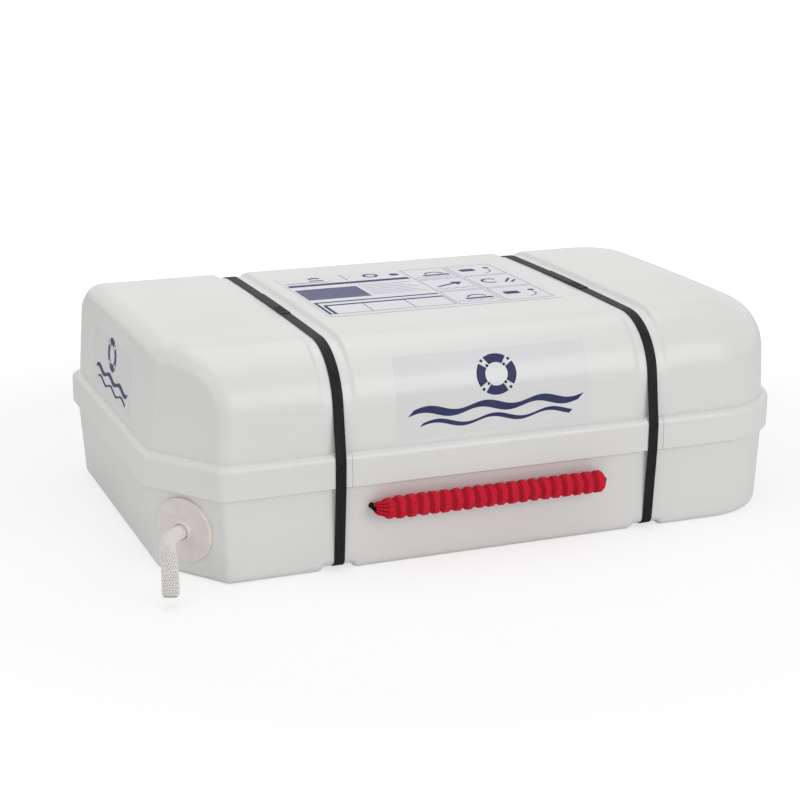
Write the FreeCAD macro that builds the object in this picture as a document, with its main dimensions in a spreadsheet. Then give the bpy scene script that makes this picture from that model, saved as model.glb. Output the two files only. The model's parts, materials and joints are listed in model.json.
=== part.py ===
"""Liferaft canister: two moulded shells held shut by burst straps, with what they hold."""
import FreeCAD
import Part
import Sketcher
import math
import os

from FreeCAD import Placement, Rotation, Vector

SIZES = [
    # the canister as a whole
    ("band_length", 778.0, "length over the skirt band"),
    ("band_width", 468.0, "width over the skirt band"),
    ("band_bottom", 97.0, "lower edge of the skirt above the feet"),
    ("band_height", 38.5, "height of the skirt band"),
    ("overall_height", 252.5, "top of the crowned lid above the feet"),
    ("shell_wall", 4.0, "wall of both mouldings"),
    # plan outline, taken at the face of the skirt
    ("cut_length", 64.0, "front corner cut at the painter end, along the length"),
    ("cut_width", 86.0, "front corner cut at the painter end, across the width"),
    ("back_cut_length", 27.0, "back corner cut at the painter end, along the length"),
    ("back_cut_width", 34.0, "back corner cut at the painter end, across the width"),
    ("cut_edge_radius", 12.0, "rounding of the upright edges beside a corner cut"),
    ("corner_radius", 110.0, "rounded corners at the other end, in plan"),
    # lid
    ("lid_recess", 8.0, "lid wall inside the face of the skirt"),
    ("lid_end_draft", 3.8, "degrees"),
    ("lid_side_draft", 1.8, "degrees"),
    ("lid_crown", 3.2, "fall of the lid from the middle to the long sides"),
    ("lid_round", 70.0, "big rounding along the long sides of the lid"),
    ("lid_end_round", 62.0, "rounding of the lid at the end away from the painter"),
    ("lid_cut_round", 21.0, "rounding at the painter end and the corner cuts"),
    ("skirt_round", 8.0, "shoulder of the skirt"),
    ("skirt_edge", 1.2, "lower outer edge of the skirt"),
    # tray
    ("tray_recess", 6.0, "tray wall inside the face of the skirt"),
    ("tray_end_draft", 4.5, "degrees"),
    ("tray_side_draft", 0.6, "degrees"),
    ("tray_round", 10.0, "rounding round the bottom"),
    ("tray_cut_round", 9.0, "rounding at the painter end and the corner cuts"),
    ("rim_step", 0.8, "the tray's rim inside its wall, under the skirt"),
    ("seal_height", 5.5, "room for the seal between the tray's rim and the lid"),
    # strap channels
    ("strap_inset", 196.5, "first strap from the end of the band at the painter side"),
    ("strap_far_inset", 201.5, "other strap from the other end of the band"),
    ("channel_width", 46.0, "strap channel over its soft edges"),
    ("channel_slope", 9.0, "run of each soft edge"),
    ("channel_depth", 5.2, "channel in the lid and in the bottom"),
    ("notch_width", 27.0, "shallow strap seat in the skirt"),
    ("notch_depth", 1.2, "shallow strap seat in the skirt"),
    # burst straps
    ("strap_width", 12.0, "burst strap"),
    ("strap_thickness", 0.9, "burst strap"),
    ("strap_gap", 0.25, "between a strap and what it goes round"),
    ("weld_length", 100.0, "doubled end of a strap on the lid"),
    # painter gland
    ("gland_radius", 36.5, "flange of the painter gland"),
    ("gland_flange", 4.0, "thickness of the flange"),
    ("gland_height", 55.0, "middle of the gland above the feet"),
    ("gland_shift", 4.0, "gland toward the end face from the middle of the corner cut"),
    ("gland_collar_radius", 12.0, "collar that the painter comes out of"),
    ("gland_collar", 4.5, "collar in front of the flange"),
    ("gland_spigot_radius", 14.0, "spigot through the shell"),
    ("gland_spigot", 14.0, "spigot behind the flange"),
    ("gland_fit", 0.4, "clearance of the spigot in its hole and nut"),
    ("gland_nut_radius", 27.0, "ring nut inside"),
    ("gland_nut_thickness", 6.0, "ring nut inside"),
    ("seat_gap", 0.2, "between faces that seat on each other"),
    # painter
    ("painter_radius", 8.0, "braided painter line"),
    ("painter_fit", 0.4, "clearance of the painter in its gland"),
    ("hank_radius", 40.0, "stowed painter behind the gland"),
    ("hank_length", 42.0, "stowed painter behind the gland"),
    ("hank_gap", 2.0, "stowed painter behind the spigot of the gland"),
    ("painter_lead", 16.0, "straight run of the painter out of its gland"),
    # carrying handles
    ("handle_inset", 42.0, "first end of the gathered sleeve from the first strap"),
    ("handle_far_inset", 70.0, "other end of the gathered sleeve from the other strap"),
    ("handle_height", 72.0, "handle above the feet"),
    ("handle_stand", 15.5, "middle of the handle in front of the tray wall"),
    ("gather_count", 18.0, "gathers of the sleeve"),
    ("gather_radius", 14.0, "crest of a gather"),
    ("gather_depth", 2.6, "crest down to valley"),
    ("gather_unevenness", 0.4, "how much fuller or slimmer one gather is than the next"),
    ("gather_drift", 0.09, "how far a gather sits from its even place, in pitches"),
    ("bunch_length", 21.0, "pointed bunch at the sleeve's first end"),
    ("butt_length", 9.0, "blunt turn-in at the sleeve's other end"),
    ("handle_cord_radius", 3.0, "cord inside the sleeve"),
    ("handle_cord_bend", 5.0, "bend of the cord where it turns into the shell"),
    ("handle_cord_fit", 0.4, "clearance round the cord"),
    ("washer_radius", 12.0, "washers inside the tray"),
    ("washer_thickness", 2.0, "washers inside the tray"),
    ("knot_radius", 7.0, "stopper knots"),
    # packed contents
    ("stow_gap", 6.0, "between the packed raft and the shells"),
    ("raft_inset", 191.0, "end of the packed raft from the end of the band at the painter side"),
    ("raft_edge", 45.0, "soft corners of the packed raft"),
    ("bottle_radius", 54.0, "gas cylinder"),
    ("bottle_length", 300.0, "gas cylinder without its head"),
    ("bottle_inset", 127.0, "middle of the gas cylinder from the end of the band at the painter side"),
    ("bottle_shift", 50.0, "gas cylinder toward the back"),
    ("bottle_neck_radius", 16.0, "neck of the gas cylinder"),
    ("bottle_neck", 14.0, "neck of the gas cylinder"),
    ("head_radius", 21.0, "inflation head"),
    ("head_length", 44.0, "inflation head"),
    ("head_port_radius", 8.0, "outlet of the inflation head"),
    ("head_port", 30.0, "outlet of the inflation head"),
    ("webbing_width", 38.0, "webbing round the gas cylinder"),
    ("webbing_thickness", 1.6, "webbing round the gas cylinder"),
    ("kit_length", 104.0, "emergency pack along the canister"),
    ("kit_width", 250.0, "emergency pack across the canister"),
    ("kit_height", 84.0, "emergency pack"),
    ("kit_edge", 18.0, "soft corners of the emergency pack"),
    # labels
    ("label_inset", 37.0, "first edge of the instruction label from the first strap"),
    ("label_far_inset", 51.0, "other edge of the instruction label from the other strap"),
    ("label_width", 204.0, "instruction label on the lid"),
    ("label_shift", 4.0, "instruction label toward the back"),
    ("label_thickness", 0.35, "instruction label"),
    ("label_corner", 6.0, "rounded corners of the instruction label"),
]

doc = FreeCAD.newDocument("liferaft_canister")
sheet = doc.addObject("Spreadsheet::Sheet", "Sizes")
for row, (alias, value, note) in enumerate(SIZES, start=1):
    sheet.set(f"A{row}", note)
    sheet.set(f"B{row}", str(value))
    sheet.setAlias(f"B{row}", alias)
doc.recompute()


def size(alias):
    """A driving dimension, read from the sheet."""
    return float(sheet.get(alias))


HALF_LENGTH = size("band_length") / 2
HALF_WIDTH = size("band_width") / 2
BAND_TOP = size("band_bottom") + size("band_height")
STRAP_PLACES = [-HALF_LENGTH + size("strap_inset"), HALF_LENGTH - size("strap_far_inset")]
SLEEVE_ENDS = [STRAP_PLACES[0] + size("handle_inset"), STRAP_PLACES[1] - size("handle_far_inset")]


# ---------------------------------------------------------------- outlines

def rounded_wire(corners, lift):
    """Closed wire at height lift through corners (x, y, radius), each rounded by a tangent arc."""
    edges = []
    count = len(corners)
    legs = []
    for index, (x, y, radius) in enumerate(corners):
        here = Vector(x, y, lift)
        before = Vector(corners[index - 1][0], corners[index - 1][1], lift)
        after = Vector(corners[(index + 1) % count][0], corners[(index + 1) % count][1], lift)
        back = (before - here).normalize()
        ahead = (after - here).normalize()
        half = math.acos(max(-1.0, min(1.0, back.dot(ahead)))) / 2
        reach = radius / math.tan(half)
        middle = here + (back + ahead).normalize() * (radius / math.sin(half) - radius)
        legs.append((here + back * reach, middle, here + ahead * reach))
    for index, (start, middle, end) in enumerate(legs):
        if (end - start).Length > 1e-6:
            edges.append(Part.Arc(start, middle, end).toShape())
        following = legs[(index + 1) % count][0]
        edges.append(Part.LineSegment(end, following).toShape())
    return Part.Wire(edges)


def cut_meets(along, across, end, side, cut):
    """Where a corner cut meets the end wall and the long wall, each moved in by its own amount."""
    slant = math.hypot(along, across)
    at_end = HALF_WIDTH - across - (cut * slant - across * end) / along
    at_side = -HALF_LENGTH + along + (cut * slant - along * side) / across
    return at_end, at_side


def plan_corners(end, side, cut, edge_radius, corner_radius):
    """Plan outline with each kind of wall moved in by its own amount: ends, long sides, corner cuts."""
    left = -HALF_LENGTH + end
    right = HALF_LENGTH - end
    half = HALF_WIDTH - side
    front_end, front_side = cut_meets(size("cut_length"), size("cut_width"), end, side, cut)
    back_end, back_side = cut_meets(size("back_cut_length"), size("back_cut_width"), end, side, cut)
    return [
        (left, -front_end, edge_radius),
        (front_side, -half, edge_radius),
        (right, -half, corner_radius),
        (right, half, corner_radius),
        (back_side, half, edge_radius),
        (left, back_end, edge_radius),
    ]


def plan_prism(inset, bottom, top, edge_radius):
    """Upright prism over the plan outline, its walls all moved in by inset."""
    corners = plan_corners(inset, inset, inset, edge_radius, size("corner_radius") - inset)
    return Part.Face(rounded_wire(corners, bottom)).extrude(Vector(0, 0, top - bottom))


# ---------------------------------------------------------------- one moulded half

class Half:
    """Sizes of a half moulding that rises from its rim plane, moved in by wall for its cavity."""

    def __init__(self, recess, end_draft, side_draft, rise, crown, edge, end_edge, cut_edge, wall):
        self.recess = recess + wall
        self.end_slope = math.tan(math.radians(end_draft))
        self.side_slope = math.tan(math.radians(side_draft))
        self.rise = rise - wall
        self.edge = edge - wall
        self.end_edge = end_edge - wall
        self.cut_edge = cut_edge - wall
        self.soft = wall == 0
        # the crown is an arc across the width that falls by crown at the long sides
        self.crown_radius = (HALF_WIDTH ** 2 + crown ** 2) / (2 * crown) if crown else 0.0

    def corners(self, lift, drop_cuts=False):
        end = self.recess + self.end_slope * lift
        side = self.recess + self.side_slope * lift
        radius = size("corner_radius") - end
        if not drop_cuts:
            return plan_corners(end, side, (end + side) / 2, 0.0, radius)
        far = HALF_LENGTH * 1.4
        half = HALF_WIDTH - side
        right = HALF_LENGTH - end
        return [(-far, -half, 0.0), (right, -half, radius), (right, half, radius), (-far, half, 0.0)]

    def section(self, lowered):
        """Outline across the width with the top lowered: walls, the two roundings and the crown."""
        rise = self.rise - lowered
        lean = math.atan(self.side_slope)
        foot = HALF_WIDTH - self.recess
        if self.crown_radius:
            middle = rise - self.crown_radius
            # centre of the rounding: edge inside the wall line and edge inside the crown arc
            inner = self.crown_radius - self.edge
            offset = foot - self.edge / math.cos(lean)
            a = 1 + self.side_slope ** 2
            b = -2 * (offset * self.side_slope + middle)
            c = offset ** 2 + middle ** 2 - inner ** 2
            # y = offset - slope * z and y^2 + (z - middle)^2 = inner^2
            height = (-b + math.sqrt(b * b - 4 * a * c)) / (2 * a)
            across = offset - self.side_slope * height
            away = Vector(0, across, height - middle).normalize()
            crest = Vector(0, 0, middle) + away * self.crown_radius
            top = Vector(0, 0, rise)
        else:
            height = rise - self.edge
            across = foot - self.edge / math.cos(lean) - self.side_slope * height
            away = Vector(0, 0, 1)
            crest = Vector(0, across, rise)
            top = None
        centre = Vector(0, across, height)
        outward = Vector(0, math.cos(lean), math.sin(lean))
        wall = centre + outward * self.edge
        knee = centre + (outward + away).normalize() * self.edge
        return Vector(0, foot, 0), wall, knee, crest, top, centre

    def section_wire(self, place, lowered):
        foot, wall, knee, crest, top, centre = self.section(lowered)

        def near(point):
            return Vector(place, -point.y, point.z)

        def far(point):
            return Vector(place, point.y, point.z)
        edges = [
            Part.LineSegment(near(foot), near(wall)).toShape(),
            Part.Arc(near(wall), near(knee), near(crest)).toShape(),
        ]
        if top:
            edges.append(Part.Arc(near(crest), Vector(place, 0, top.z), far(crest)).toShape())
        else:
            edges.append(Part.LineSegment(near(crest), far(crest)).toShape())
        edges.append(Part.Arc(far(crest), far(knee), far(wall)).toShape())
        edges.append(Part.LineSegment(far(wall), far(foot)).toShape())
        edges.append(Part.LineSegment(far(foot), near(foot)).toShape())
        return Part.Wire(edges)

    def plain(self):
        """The half without strap channels: drafted walls, crowned top, rounded edges."""
        reach = self.rise * 1.2
        tall = Part.makeLoft(
            [rounded_wire(self.corners(0.0, True), 0.0), rounded_wire(self.corners(reach, True), reach)],
            True, True)
        roof = self.section_roof()
        body = self.rounded_roof(tall.common(roof))
        cuts = Part.makeLoft(
            [rounded_wire(self.cut_corners(0.0), 0.0), rounded_wire(self.cut_corners(reach), reach)],
            True, True)
        body = body.common(cuts)
        return body.makeFillet(self.cut_edge, self.cut_edges(body))

    def section_roof(self):
        """Everything under the crown."""
        far = HALF_LENGTH * 1.5
        side = HALF_WIDTH * 1.1
        if not self.crown_radius:
            return Part.makeBox(2 * far, 2 * side, self.rise, Vector(-far, -side, 0))
        fall = self.crown_radius - math.sqrt(self.crown_radius ** 2 - side ** 2)
        left = Vector(-far, -side, self.rise - fall)
        right = Vector(-far, side, self.rise - fall)
        edges = [
            Part.Arc(left, Vector(-far, 0, self.rise), right).toShape(),
            Part.LineSegment(right, Vector(-far, side, 0)).toShape(),
            Part.LineSegment(Vector(-far, side, 0), Vector(-far, -side, 0)).toShape(),
            Part.LineSegment(Vector(-far, -side, 0), left).toShape(),
        ]
        return Part.Face(Part.Wire(edges)).extrude(Vector(2 * far, 0, 0))

    def rounded_roof(self, body):
        """Body with its top rounded: the long sides by one radius and the plain end by its own."""
        highest = self.rise - 1.3 * (self.crown_fall() + 0.5)
        top_end = self.corners(self.rise)[2][0]

        def radius(vertex):
            return self.end_edge if vertex.X > top_end - self.edge else self.edge

        chosen = []
        for number, edge in enumerate(body.Edges, start=1):
            box = edge.BoundBox
            if box.ZMin > highest and box.XMax > -HALF_LENGTH * 1.3:
                chosen.append((number, radius(edge.firstVertex()), radius(edge.lastVertex())))
        block = doc.addObject("Part::Feature", "unrounded_block")
        block.Shape = body
        rounding = doc.addObject("Part::Fillet", "roof_rounding")
        rounding.Base = block
        rounding.Edges = chosen
        doc.recompute()
        rounded = rounding.Shape.copy()
        doc.removeObject(rounding.Name)
        doc.removeObject(block.Name)
        return rounded

    def crown_fall(self):
        if not self.crown_radius:
            return 0.0
        return self.crown_radius - math.sqrt(self.crown_radius ** 2 - HALF_WIDTH ** 2)

    def cut_corners(self, lift):
        """Outline of the end wall and the two corner cuts, their lines run on past the long walls."""
        corners = self.corners(lift)
        far = HALF_LENGTH * 1.4
        wide = HALF_WIDTH * 1.4

        def run_on(end, side, across):
            return end[0] + (across - end[1]) * (side[0] - end[0]) / (side[1] - end[1])

        front = run_on(corners[0], corners[1], -wide)
        back = run_on(corners[5], corners[4], wide)
        return [
            corners[0], (front, -wide, 0.0), (far, -wide, 0.0),
            (far, wide, 0.0), (back, wide, 0.0), corners[5],
        ]

    def cut_edges(self, body):
        """Edges of the end wall and of the two corner cuts, apart from the rim."""
        chosen = []
        for edge in body.Edges:
            point = edge.valueAt((edge.FirstParameter + edge.LastParameter) / 2)
            if edge.BoundBox.ZMax < 0.01:
                continue
            corners = self.cut_corners(point.z)
            walls = [(corners[0], corners[1]), (corners[5], corners[4]), (corners[0], corners[5])]
            for (x1, y1, round1), (x2, y2, round2) in walls:
                run = Vector(x2 - x1, y2 - y1, 0).normalize()
                away = run.x * (point.y - y1) - run.y * (point.x - x1)
                if abs(away) < 0.02:
                    chosen.append(edge)
                    break
        return chosen

    def with_channels(self, middles, width, slope, depth):
        """The half with a channel across it at each place; the outer form has soft edges to it."""
        body = self.plain()
        share = [(0.0, 0.0), (0.3, 0.15), (0.7, 0.85), (1.0, 1.0)] if self.soft else [(0.0, 0.0), (1.0, 1.0)]
        for middle in middles:
            left = middle - width / 2
            slab = Part.makeBox(width, HALF_WIDTH * 2.4, self.rise * 1.4, Vector(left, -HALF_WIDTH * 1.2, -1))
            going_down = [(left + slope * run, depth * fall) for run, fall in share]
            going_up = [(2 * middle - place, lowered) for place, lowered in reversed(going_down)]
            wires = [self.section_wire(place, lowered) for place, lowered in going_down + going_up]
            body = body.cut(slab).fuse(Part.makeLoft(wires, True, True))
        return body


# ---------------------------------------------------------------- document helpers

SUB_PARTS = []


def sub_part(name, shape, placement=Placement()):
    """A sub-part whose form comes from the functions above."""
    feature = doc.addObject("Part::Feature", name)
    feature.Label = name
    feature.Shape = shape
    feature.Placement = placement
    SUB_PARTS.append(feature)
    return feature


def origin_plane(body, role):
    for feature in body.Origin.OriginFeatures:
        if feature.Role == role:
            return feature
    raise ValueError(role)


def bound_outline(body, name, role, corners):
    """Closed sketch of straight lines; each corner is a pair of expressions bound to the sheet."""
    sketch = body.newObject("Sketcher::SketchObject", name)
    sketch.AttachmentSupport = [(origin_plane(body, role), "")]
    sketch.MapMode = "FlatFace"
    places = [tuple(float(sheet.evalExpression(term)) for term in corner) for corner in corners]
    count = len(places)
    for index, (x, y) in enumerate(places):
        after = places[(index + 1) % count]
        sketch.addGeometry(Part.LineSegment(Vector(x, y, 0), Vector(after[0], after[1], 0)), False)
    for index in range(count):
        following = (index + 1) % count
        sketch.addConstraint(Sketcher.Constraint("Coincident", index, 2, following, 1))
    for index, corner in enumerate(corners):
        for direction, axis, place, term in (
            ("DistanceX", -2, places[index][0], corner[0]),
            ("DistanceY", -1, places[index][1], corner[1]),
        ):
            if abs(place) < 1e-9:
                sketch.addConstraint(Sketcher.Constraint("PointOnObject", index, 1, axis))
            else:
                number = sketch.addConstraint(Sketcher.Constraint(direction, -1, 1, index, 1, place))
                sketch.setExpression(f"Constraints[{number}]", term)
    return sketch


def turned_body(name, corners):
    """Body turned about its Z axis; corners are (radius, height) expressions."""
    body = doc.addObject("PartDesign::Body", name)
    body.Label = name
    sketch = bound_outline(body, name + "_profile", "XZ_Plane", corners)
    turning = body.newObject("PartDesign::Revolution", name + "_turning")
    turning.Profile = sketch
    turning.ReferenceAxis = (sketch, ["V_Axis"])
    turning.Angle = 360
    sketch.Visibility = False
    doc.recompute()
    SUB_PARTS.append(body)
    return body


def rounded_rims(body, radius, chosen):
    """Fillet on the body's circular edges that chosen(edge) accepts."""
    tip = body.Tip
    names = []
    for number, edge in enumerate(tip.Shape.Edges, start=1):
        if isinstance(edge.Curve, Part.Circle) and chosen(edge):
            names.append(f"Edge{number}")
    fillet = body.newObject("PartDesign::Fillet", body.Name + "_rounding")
    fillet.Base = (tip, names)
    fillet.setExpression("Radius", radius)
    doc.recompute()


def tube(points, radius, turns=None):
    """Round cord along straight runs joined by tangent arcs; turns gives the arcs' radii."""
    edges = []
    last = points[0]
    for index in range(1, len(points) - 1):
        here = points[index]
        back = points[index - 1] - here
        ahead = points[index + 1] - here
        half = math.acos(max(-1.0, min(1.0, back.normalize().dot(ahead.normalize())))) / 2
        shorter = min((points[index - 1] - here).Length, (points[index + 1] - here).Length)
        bend = turns if turns else 0.45 * shorter * math.tan(half)
        reach = bend / math.tan(half)
        start = here + back * reach
        end = here + ahead * reach
        middle = here + (back + ahead).normalize() * (bend / math.sin(half) - bend)
        edges.append(Part.LineSegment(last, start).toShape())
        edges.append(Part.Arc(start, middle, end).toShape())
        last = end
        print("cord bend", round(bend, 1), "diameters", round(bend / radius / 2, 2))
    edges.append(Part.LineSegment(last, points[-1]).toShape())
    path = Part.Wire(edges)
    circle = Part.Circle(points[0], (points[1] - points[0]).normalize(), radius)
    solid = path.makePipeShell([Part.Wire(circle.toShape())], True, False)
    wanted = math.pi * radius ** 2 * path.Length
    if abs(solid.Volume - wanted) > 0.01 * wanted:
        raise ValueError("cord volume differs from its section times its length")
    return solid, path.Length


# ---------------------------------------------------------------- mouldings

def skirt(inset):
    """Solid skirt band with its rounded shoulder and lower edge, its faces moved in by inset."""
    edge_radius = size("cut_edge_radius")
    band = plan_prism(inset, size("band_bottom"), BAND_TOP, edge_radius)
    shoulder = [edge for edge in band.Edges if edge.BoundBox.ZMin > BAND_TOP - 0.01]
    band = band.makeFillet(size("skirt_round"), shoulder)
    lower = [edge for edge in band.Edges if edge.BoundBox.ZMax < size("band_bottom") + 0.01]
    return band.makeFillet(size("skirt_edge"), lower)


def strap_seats(band):
    """Shallow seats for the straps in the skirt's face."""
    inner = skirt(size("notch_depth"))
    width = size("notch_width")
    for place in STRAP_PLACES:
        slab = Part.makeBox(
            width, HALF_WIDTH * 2.2, size("band_height") + 2,
            Vector(place - width / 2, -HALF_WIDTH * 1.1, size("band_bottom") - 1))
        band = band.cut(slab.cut(inner))
    return band


LID_BASE = BAND_TOP - size("skirt_round") - size("shell_wall")
RIM_HEIGHT = BAND_TOP - size("shell_wall") - size("seal_height")
CHANNELS = [STRAP_PLACES, size("channel_width"), size("channel_slope"), size("channel_depth")]


def lid_half(wall):
    return Half(
        size("lid_recess"), size("lid_end_draft"), size("lid_side_draft"),
        size("overall_height") - LID_BASE, size("lid_crown"),
        size("lid_round"), size("lid_end_round"), size("lid_cut_round"), wall)


def tray_half(wall):
    return Half(
        size("tray_recess"), size("tray_end_draft"), size("tray_side_draft"),
        size("band_bottom"), 0.0, size("tray_round"), size("tray_round"), size("tray_cut_round"), wall)


def make_lid():
    outside = lid_half(0.0).with_channels(*CHANNELS)
    inside = lid_half(size("shell_wall")).with_channels(*CHANNELS)
    outside.translate(Vector(0, 0, LID_BASE))
    inside.translate(Vector(0, 0, LID_BASE))
    pocket = plan_prism(
        size("shell_wall"), size("band_bottom") - 1, BAND_TOP - size("shell_wall"),
        size("cut_edge_radius") - size("shell_wall"))
    return strap_seats(skirt(0.0)).fuse(outside).cut(inside).cut(pocket)


def upside_down(half):
    """A half moulding turned over, its rim plane at the bottom edge of the skirt."""
    shape = half.with_channels(*CHANNELS).mirror(Vector(0, 0, 0), Vector(0, 0, 1))
    shape.translate(Vector(0, 0, size("band_bottom")))
    return shape


def make_tray():
    wall = size("shell_wall")
    edge_radius = size("tray_cut_round")
    recess = size("tray_recess") + size("rim_step")
    root = size("band_bottom") - size("shell_wall")
    outside = upside_down(tray_half(0.0)).fuse(plan_prism(recess, root, RIM_HEIGHT, edge_radius))
    inside = upside_down(tray_half(wall))
    room = plan_prism(recess + wall, root, RIM_HEIGHT + 1, edge_radius - wall)
    tray = outside.cut(inside).cut(room)
    tray = tray.cut(gland_hole())
    for handle in HANDLES:
        for hole in handle_holes(handle):
            tray = tray.cut(hole)
    return tray


def make_rim_seal():
    """Seal on the tray's rim, held between it and the lid."""
    recess = size("tray_recess") + size("rim_step")
    wall = size("shell_wall")
    low = RIM_HEIGHT + size("seat_gap")
    high = BAND_TOP - wall - size("seat_gap")
    ring = plan_prism(recess, low, high, size("tray_cut_round"))
    return ring.cut(plan_prism(recess + wall, low - 1, high + 1, size("tray_cut_round") - wall))


# ---------------------------------------------------------------- burst straps

def strap_circles():
    """What a strap goes round in the plane across the canister, front half, from the top down."""
    lid = lid_half(0.0)
    tray = tray_half(0.0)
    depth = size("channel_depth")
    lid_round = lid.section(depth)[5]
    tray_round = tray.section(depth)[5]
    face = HALF_WIDTH - size("notch_depth")
    crown_middle = LID_BASE + lid.rise - depth - lid.crown_radius
    front = [
        (-lid_round.y, LID_BASE + lid_round.z, lid.edge),
        (-face + size("skirt_round"), BAND_TOP - size("skirt_round"), size("skirt_round")),
        (-face + size("skirt_edge"), size("band_bottom") + size("skirt_edge"), size("skirt_edge")),
        (-tray_round.y, size("band_bottom") - tray_round.z, tray.edge),
    ]
    back = [(-across, height, radius) for across, height, radius in reversed(front)]
    return [(0.0, crown_middle, lid.crown_radius)] + front + back


def belt(place, stand):
    """Closed wire round the circles, stand outside them."""
    circles = strap_circles()
    count = len(circles)
    leaving = []
    for index in range(count):
        across, height, radius = circles[index]
        next_across, next_height, next_radius = circles[(index + 1) % count]
        run = Vector(0, next_across - across, next_height - height)
        lean = math.asin(max(-1.0, min(1.0, (radius - next_radius) / run.Length)))
        run.normalize()
        outward = Vector(0, run.z, -run.y)
        leaving.append((outward * math.cos(lean) + run * math.sin(lean)).normalize())
    edges = []
    last = None
    first = None
    for index, (across, height, radius) in enumerate(circles):
        centre = Vector(place, across, height)
        arriving = leaving[index - 1]
        start = centre + arriving * (radius + stand)
        end = centre + leaving[index] * (radius + stand)
        middle = centre + (arriving + leaving[index]).normalize() * (radius + stand)
        if last and (start - last).Length > 1e-4:
            edges.append(Part.LineSegment(last, start).toShape())
        elif last:
            start = last
        edges.append(Part.Arc(start, middle, end).toShape())
        first = first or start
        last = end
    if (first - last).Length > 1e-4:
        edges.append(Part.LineSegment(last, first).toShape())
    return Part.Wire(edges)


def make_strap(place):
    """Flat strap pulled round both halves, its end doubled and welded on the lid."""
    width = size("strap_width")
    thickness = size("strap_thickness")
    gap = size("strap_gap")
    start = place - width / 2

    def ring(low, high):
        outer = Part.Face(belt(start, high))
        inner = Part.Face(belt(start, low))
        return outer.cut(inner).extrude(Vector(width, 0, 0))

    doubled = Part.makeBox(
        width, size("weld_length"), size("overall_height"),
        Vector(start, -size("weld_length") / 2, BAND_TOP))
    return ring(gap, gap + thickness).fuse(ring(gap + thickness, gap + 2 * thickness).common(doubled))


# ---------------------------------------------------------------- painter gland

def gland_frame():
    """Placement on the front corner cut of the tray; its Z axis points outward."""
    tray = tray_half(0.0)
    lift = size("band_bottom") - size("gland_height")
    end, start = tray.corners(lift)[:2]
    tilt = math.atan((tray.end_slope + tray.side_slope) / 2)
    run = Vector(start[0] - end[0], start[1] - end[1], 0).normalize()
    outward = Vector(run.y, -run.x, 0) * math.cos(tilt) + Vector(0, 0, -math.sin(tilt))
    middle = Vector((start[0] + end[0]) / 2, (start[1] + end[1]) / 2, size("gland_height"))
    middle = middle - run * size("gland_shift")
    return Placement(middle, Rotation(run, Vector(0, 0, 1), outward, "ZXY"))


def along_gland(radius, low, high):
    """Cylinder on the gland's axis, from low to high outside the shell."""
    shape = Part.makeCylinder(radius, high - low, Vector(0, 0, low))
    shape.Placement = gland_frame().multiply(shape.Placement)
    return shape


def gland_hole():
    return along_gland(size("gland_spigot_radius") + size("gland_fit"), -3 * size("shell_wall"), 5.0)


GLAND_FRONT = size("seat_gap") + size("gland_flange") + size("gland_collar")


def make_gland():
    bore = "Sizes.painter_radius + Sizes.painter_fit"
    face = "Sizes.seat_gap + Sizes.gland_flange"
    body = turned_body("painter_gland", [
        (bore, "-Sizes.gland_spigot"),
        ("Sizes.gland_spigot_radius", "-Sizes.gland_spigot"),
        ("Sizes.gland_spigot_radius", "Sizes.seat_gap"),
        ("Sizes.gland_radius", "Sizes.seat_gap"),
        ("Sizes.gland_radius", face),
        ("Sizes.gland_collar_radius", face),
        ("Sizes.gland_collar_radius", face + " + Sizes.gland_collar"),
        (bore, face + " + Sizes.gland_collar"),
    ])
    flange = size("seat_gap") + size("gland_flange")

    def outer(edge):
        height = edge.Curve.Center.z
        rim = abs(edge.Curve.Radius - size("gland_radius")) < 0.01 and abs(height - flange) < 0.01
        collar = height > flange + 0.5
        return rim or collar

    rounded_rims(body, "Sizes.gland_flange * 0.4", outer)
    body.Placement = gland_frame()
    return body


def make_gland_nut():
    seat = "-Sizes.shell_wall - Sizes.seat_gap"
    bore = "Sizes.gland_spigot_radius + Sizes.gland_fit"
    body = turned_body("gland_nut", [
        (bore, seat + " - Sizes.gland_nut_thickness"),
        ("Sizes.gland_nut_radius", seat + " - Sizes.gland_nut_thickness"),
        ("Sizes.gland_nut_radius", seat),
        (bore, seat),
    ])
    body.Placement = gland_frame()
    return body


def make_painter_hank():
    """Stowed painter behind the gland, with the lead that runs out through it."""
    back = -size("gland_spigot") - size("hank_gap")
    hank = along_gland(size("hank_radius"), back - size("hank_length"), back)
    rims = [edge for edge in hank.Edges if isinstance(edge.Curve, Part.Circle)]
    hank = hank.makeFillet(size("hank_length") * 0.3, rims)
    return hank.fuse(along_gland(size("painter_radius"), back - 1.0, GLAND_FRONT))


def make_painter_line():
    """Free end of the painter, from the mouth of the gland to the floor."""
    frame = gland_frame()
    mouth = frame.multVec(Vector(0, 0, GLAND_FRONT))
    straight = frame.multVec(Vector(0, 0, GLAND_FRONT + size("painter_lead")))
    route = [mouth, straight] + [Vector(*point) for point in PAINTER_ROUTE]
    line, length = tube(route, size("painter_radius"))
    print("painter length", round(length, 1), "from", [round(x, 2) for x in mouth])
    return line


PAINTER_ROUTE = [
    (-381.0, -214.8, 52.5),
    (-384.6, -235.8, 46.6),
    (-387.4, -252.3, 32.0),
    (-390.0, -260.8, 12.3),
]


# ---------------------------------------------------------------- carrying handles

HANDLES = [("front", -1), ("back", 1)]


def handle_axis(side):
    """Middle of the sleeve, and the outer face of the tray wall behind it."""
    tray = tray_half(0.0)
    lift = size("band_bottom") - size("handle_height")
    wall = HALF_WIDTH - tray.recess - tray.side_slope * lift
    return side * (wall + size("handle_stand")), side * wall


def knot_depth():
    """Middle of a stopper knot inside the outer face of the tray, seated on its washer."""
    bore = size("handle_cord_radius") + size("handle_cord_fit")
    seated = math.sqrt(size("knot_radius") ** 2 - bore ** 2)
    return size("shell_wall") + size("washer_thickness") + 2 * size("seat_gap") + seated


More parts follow.
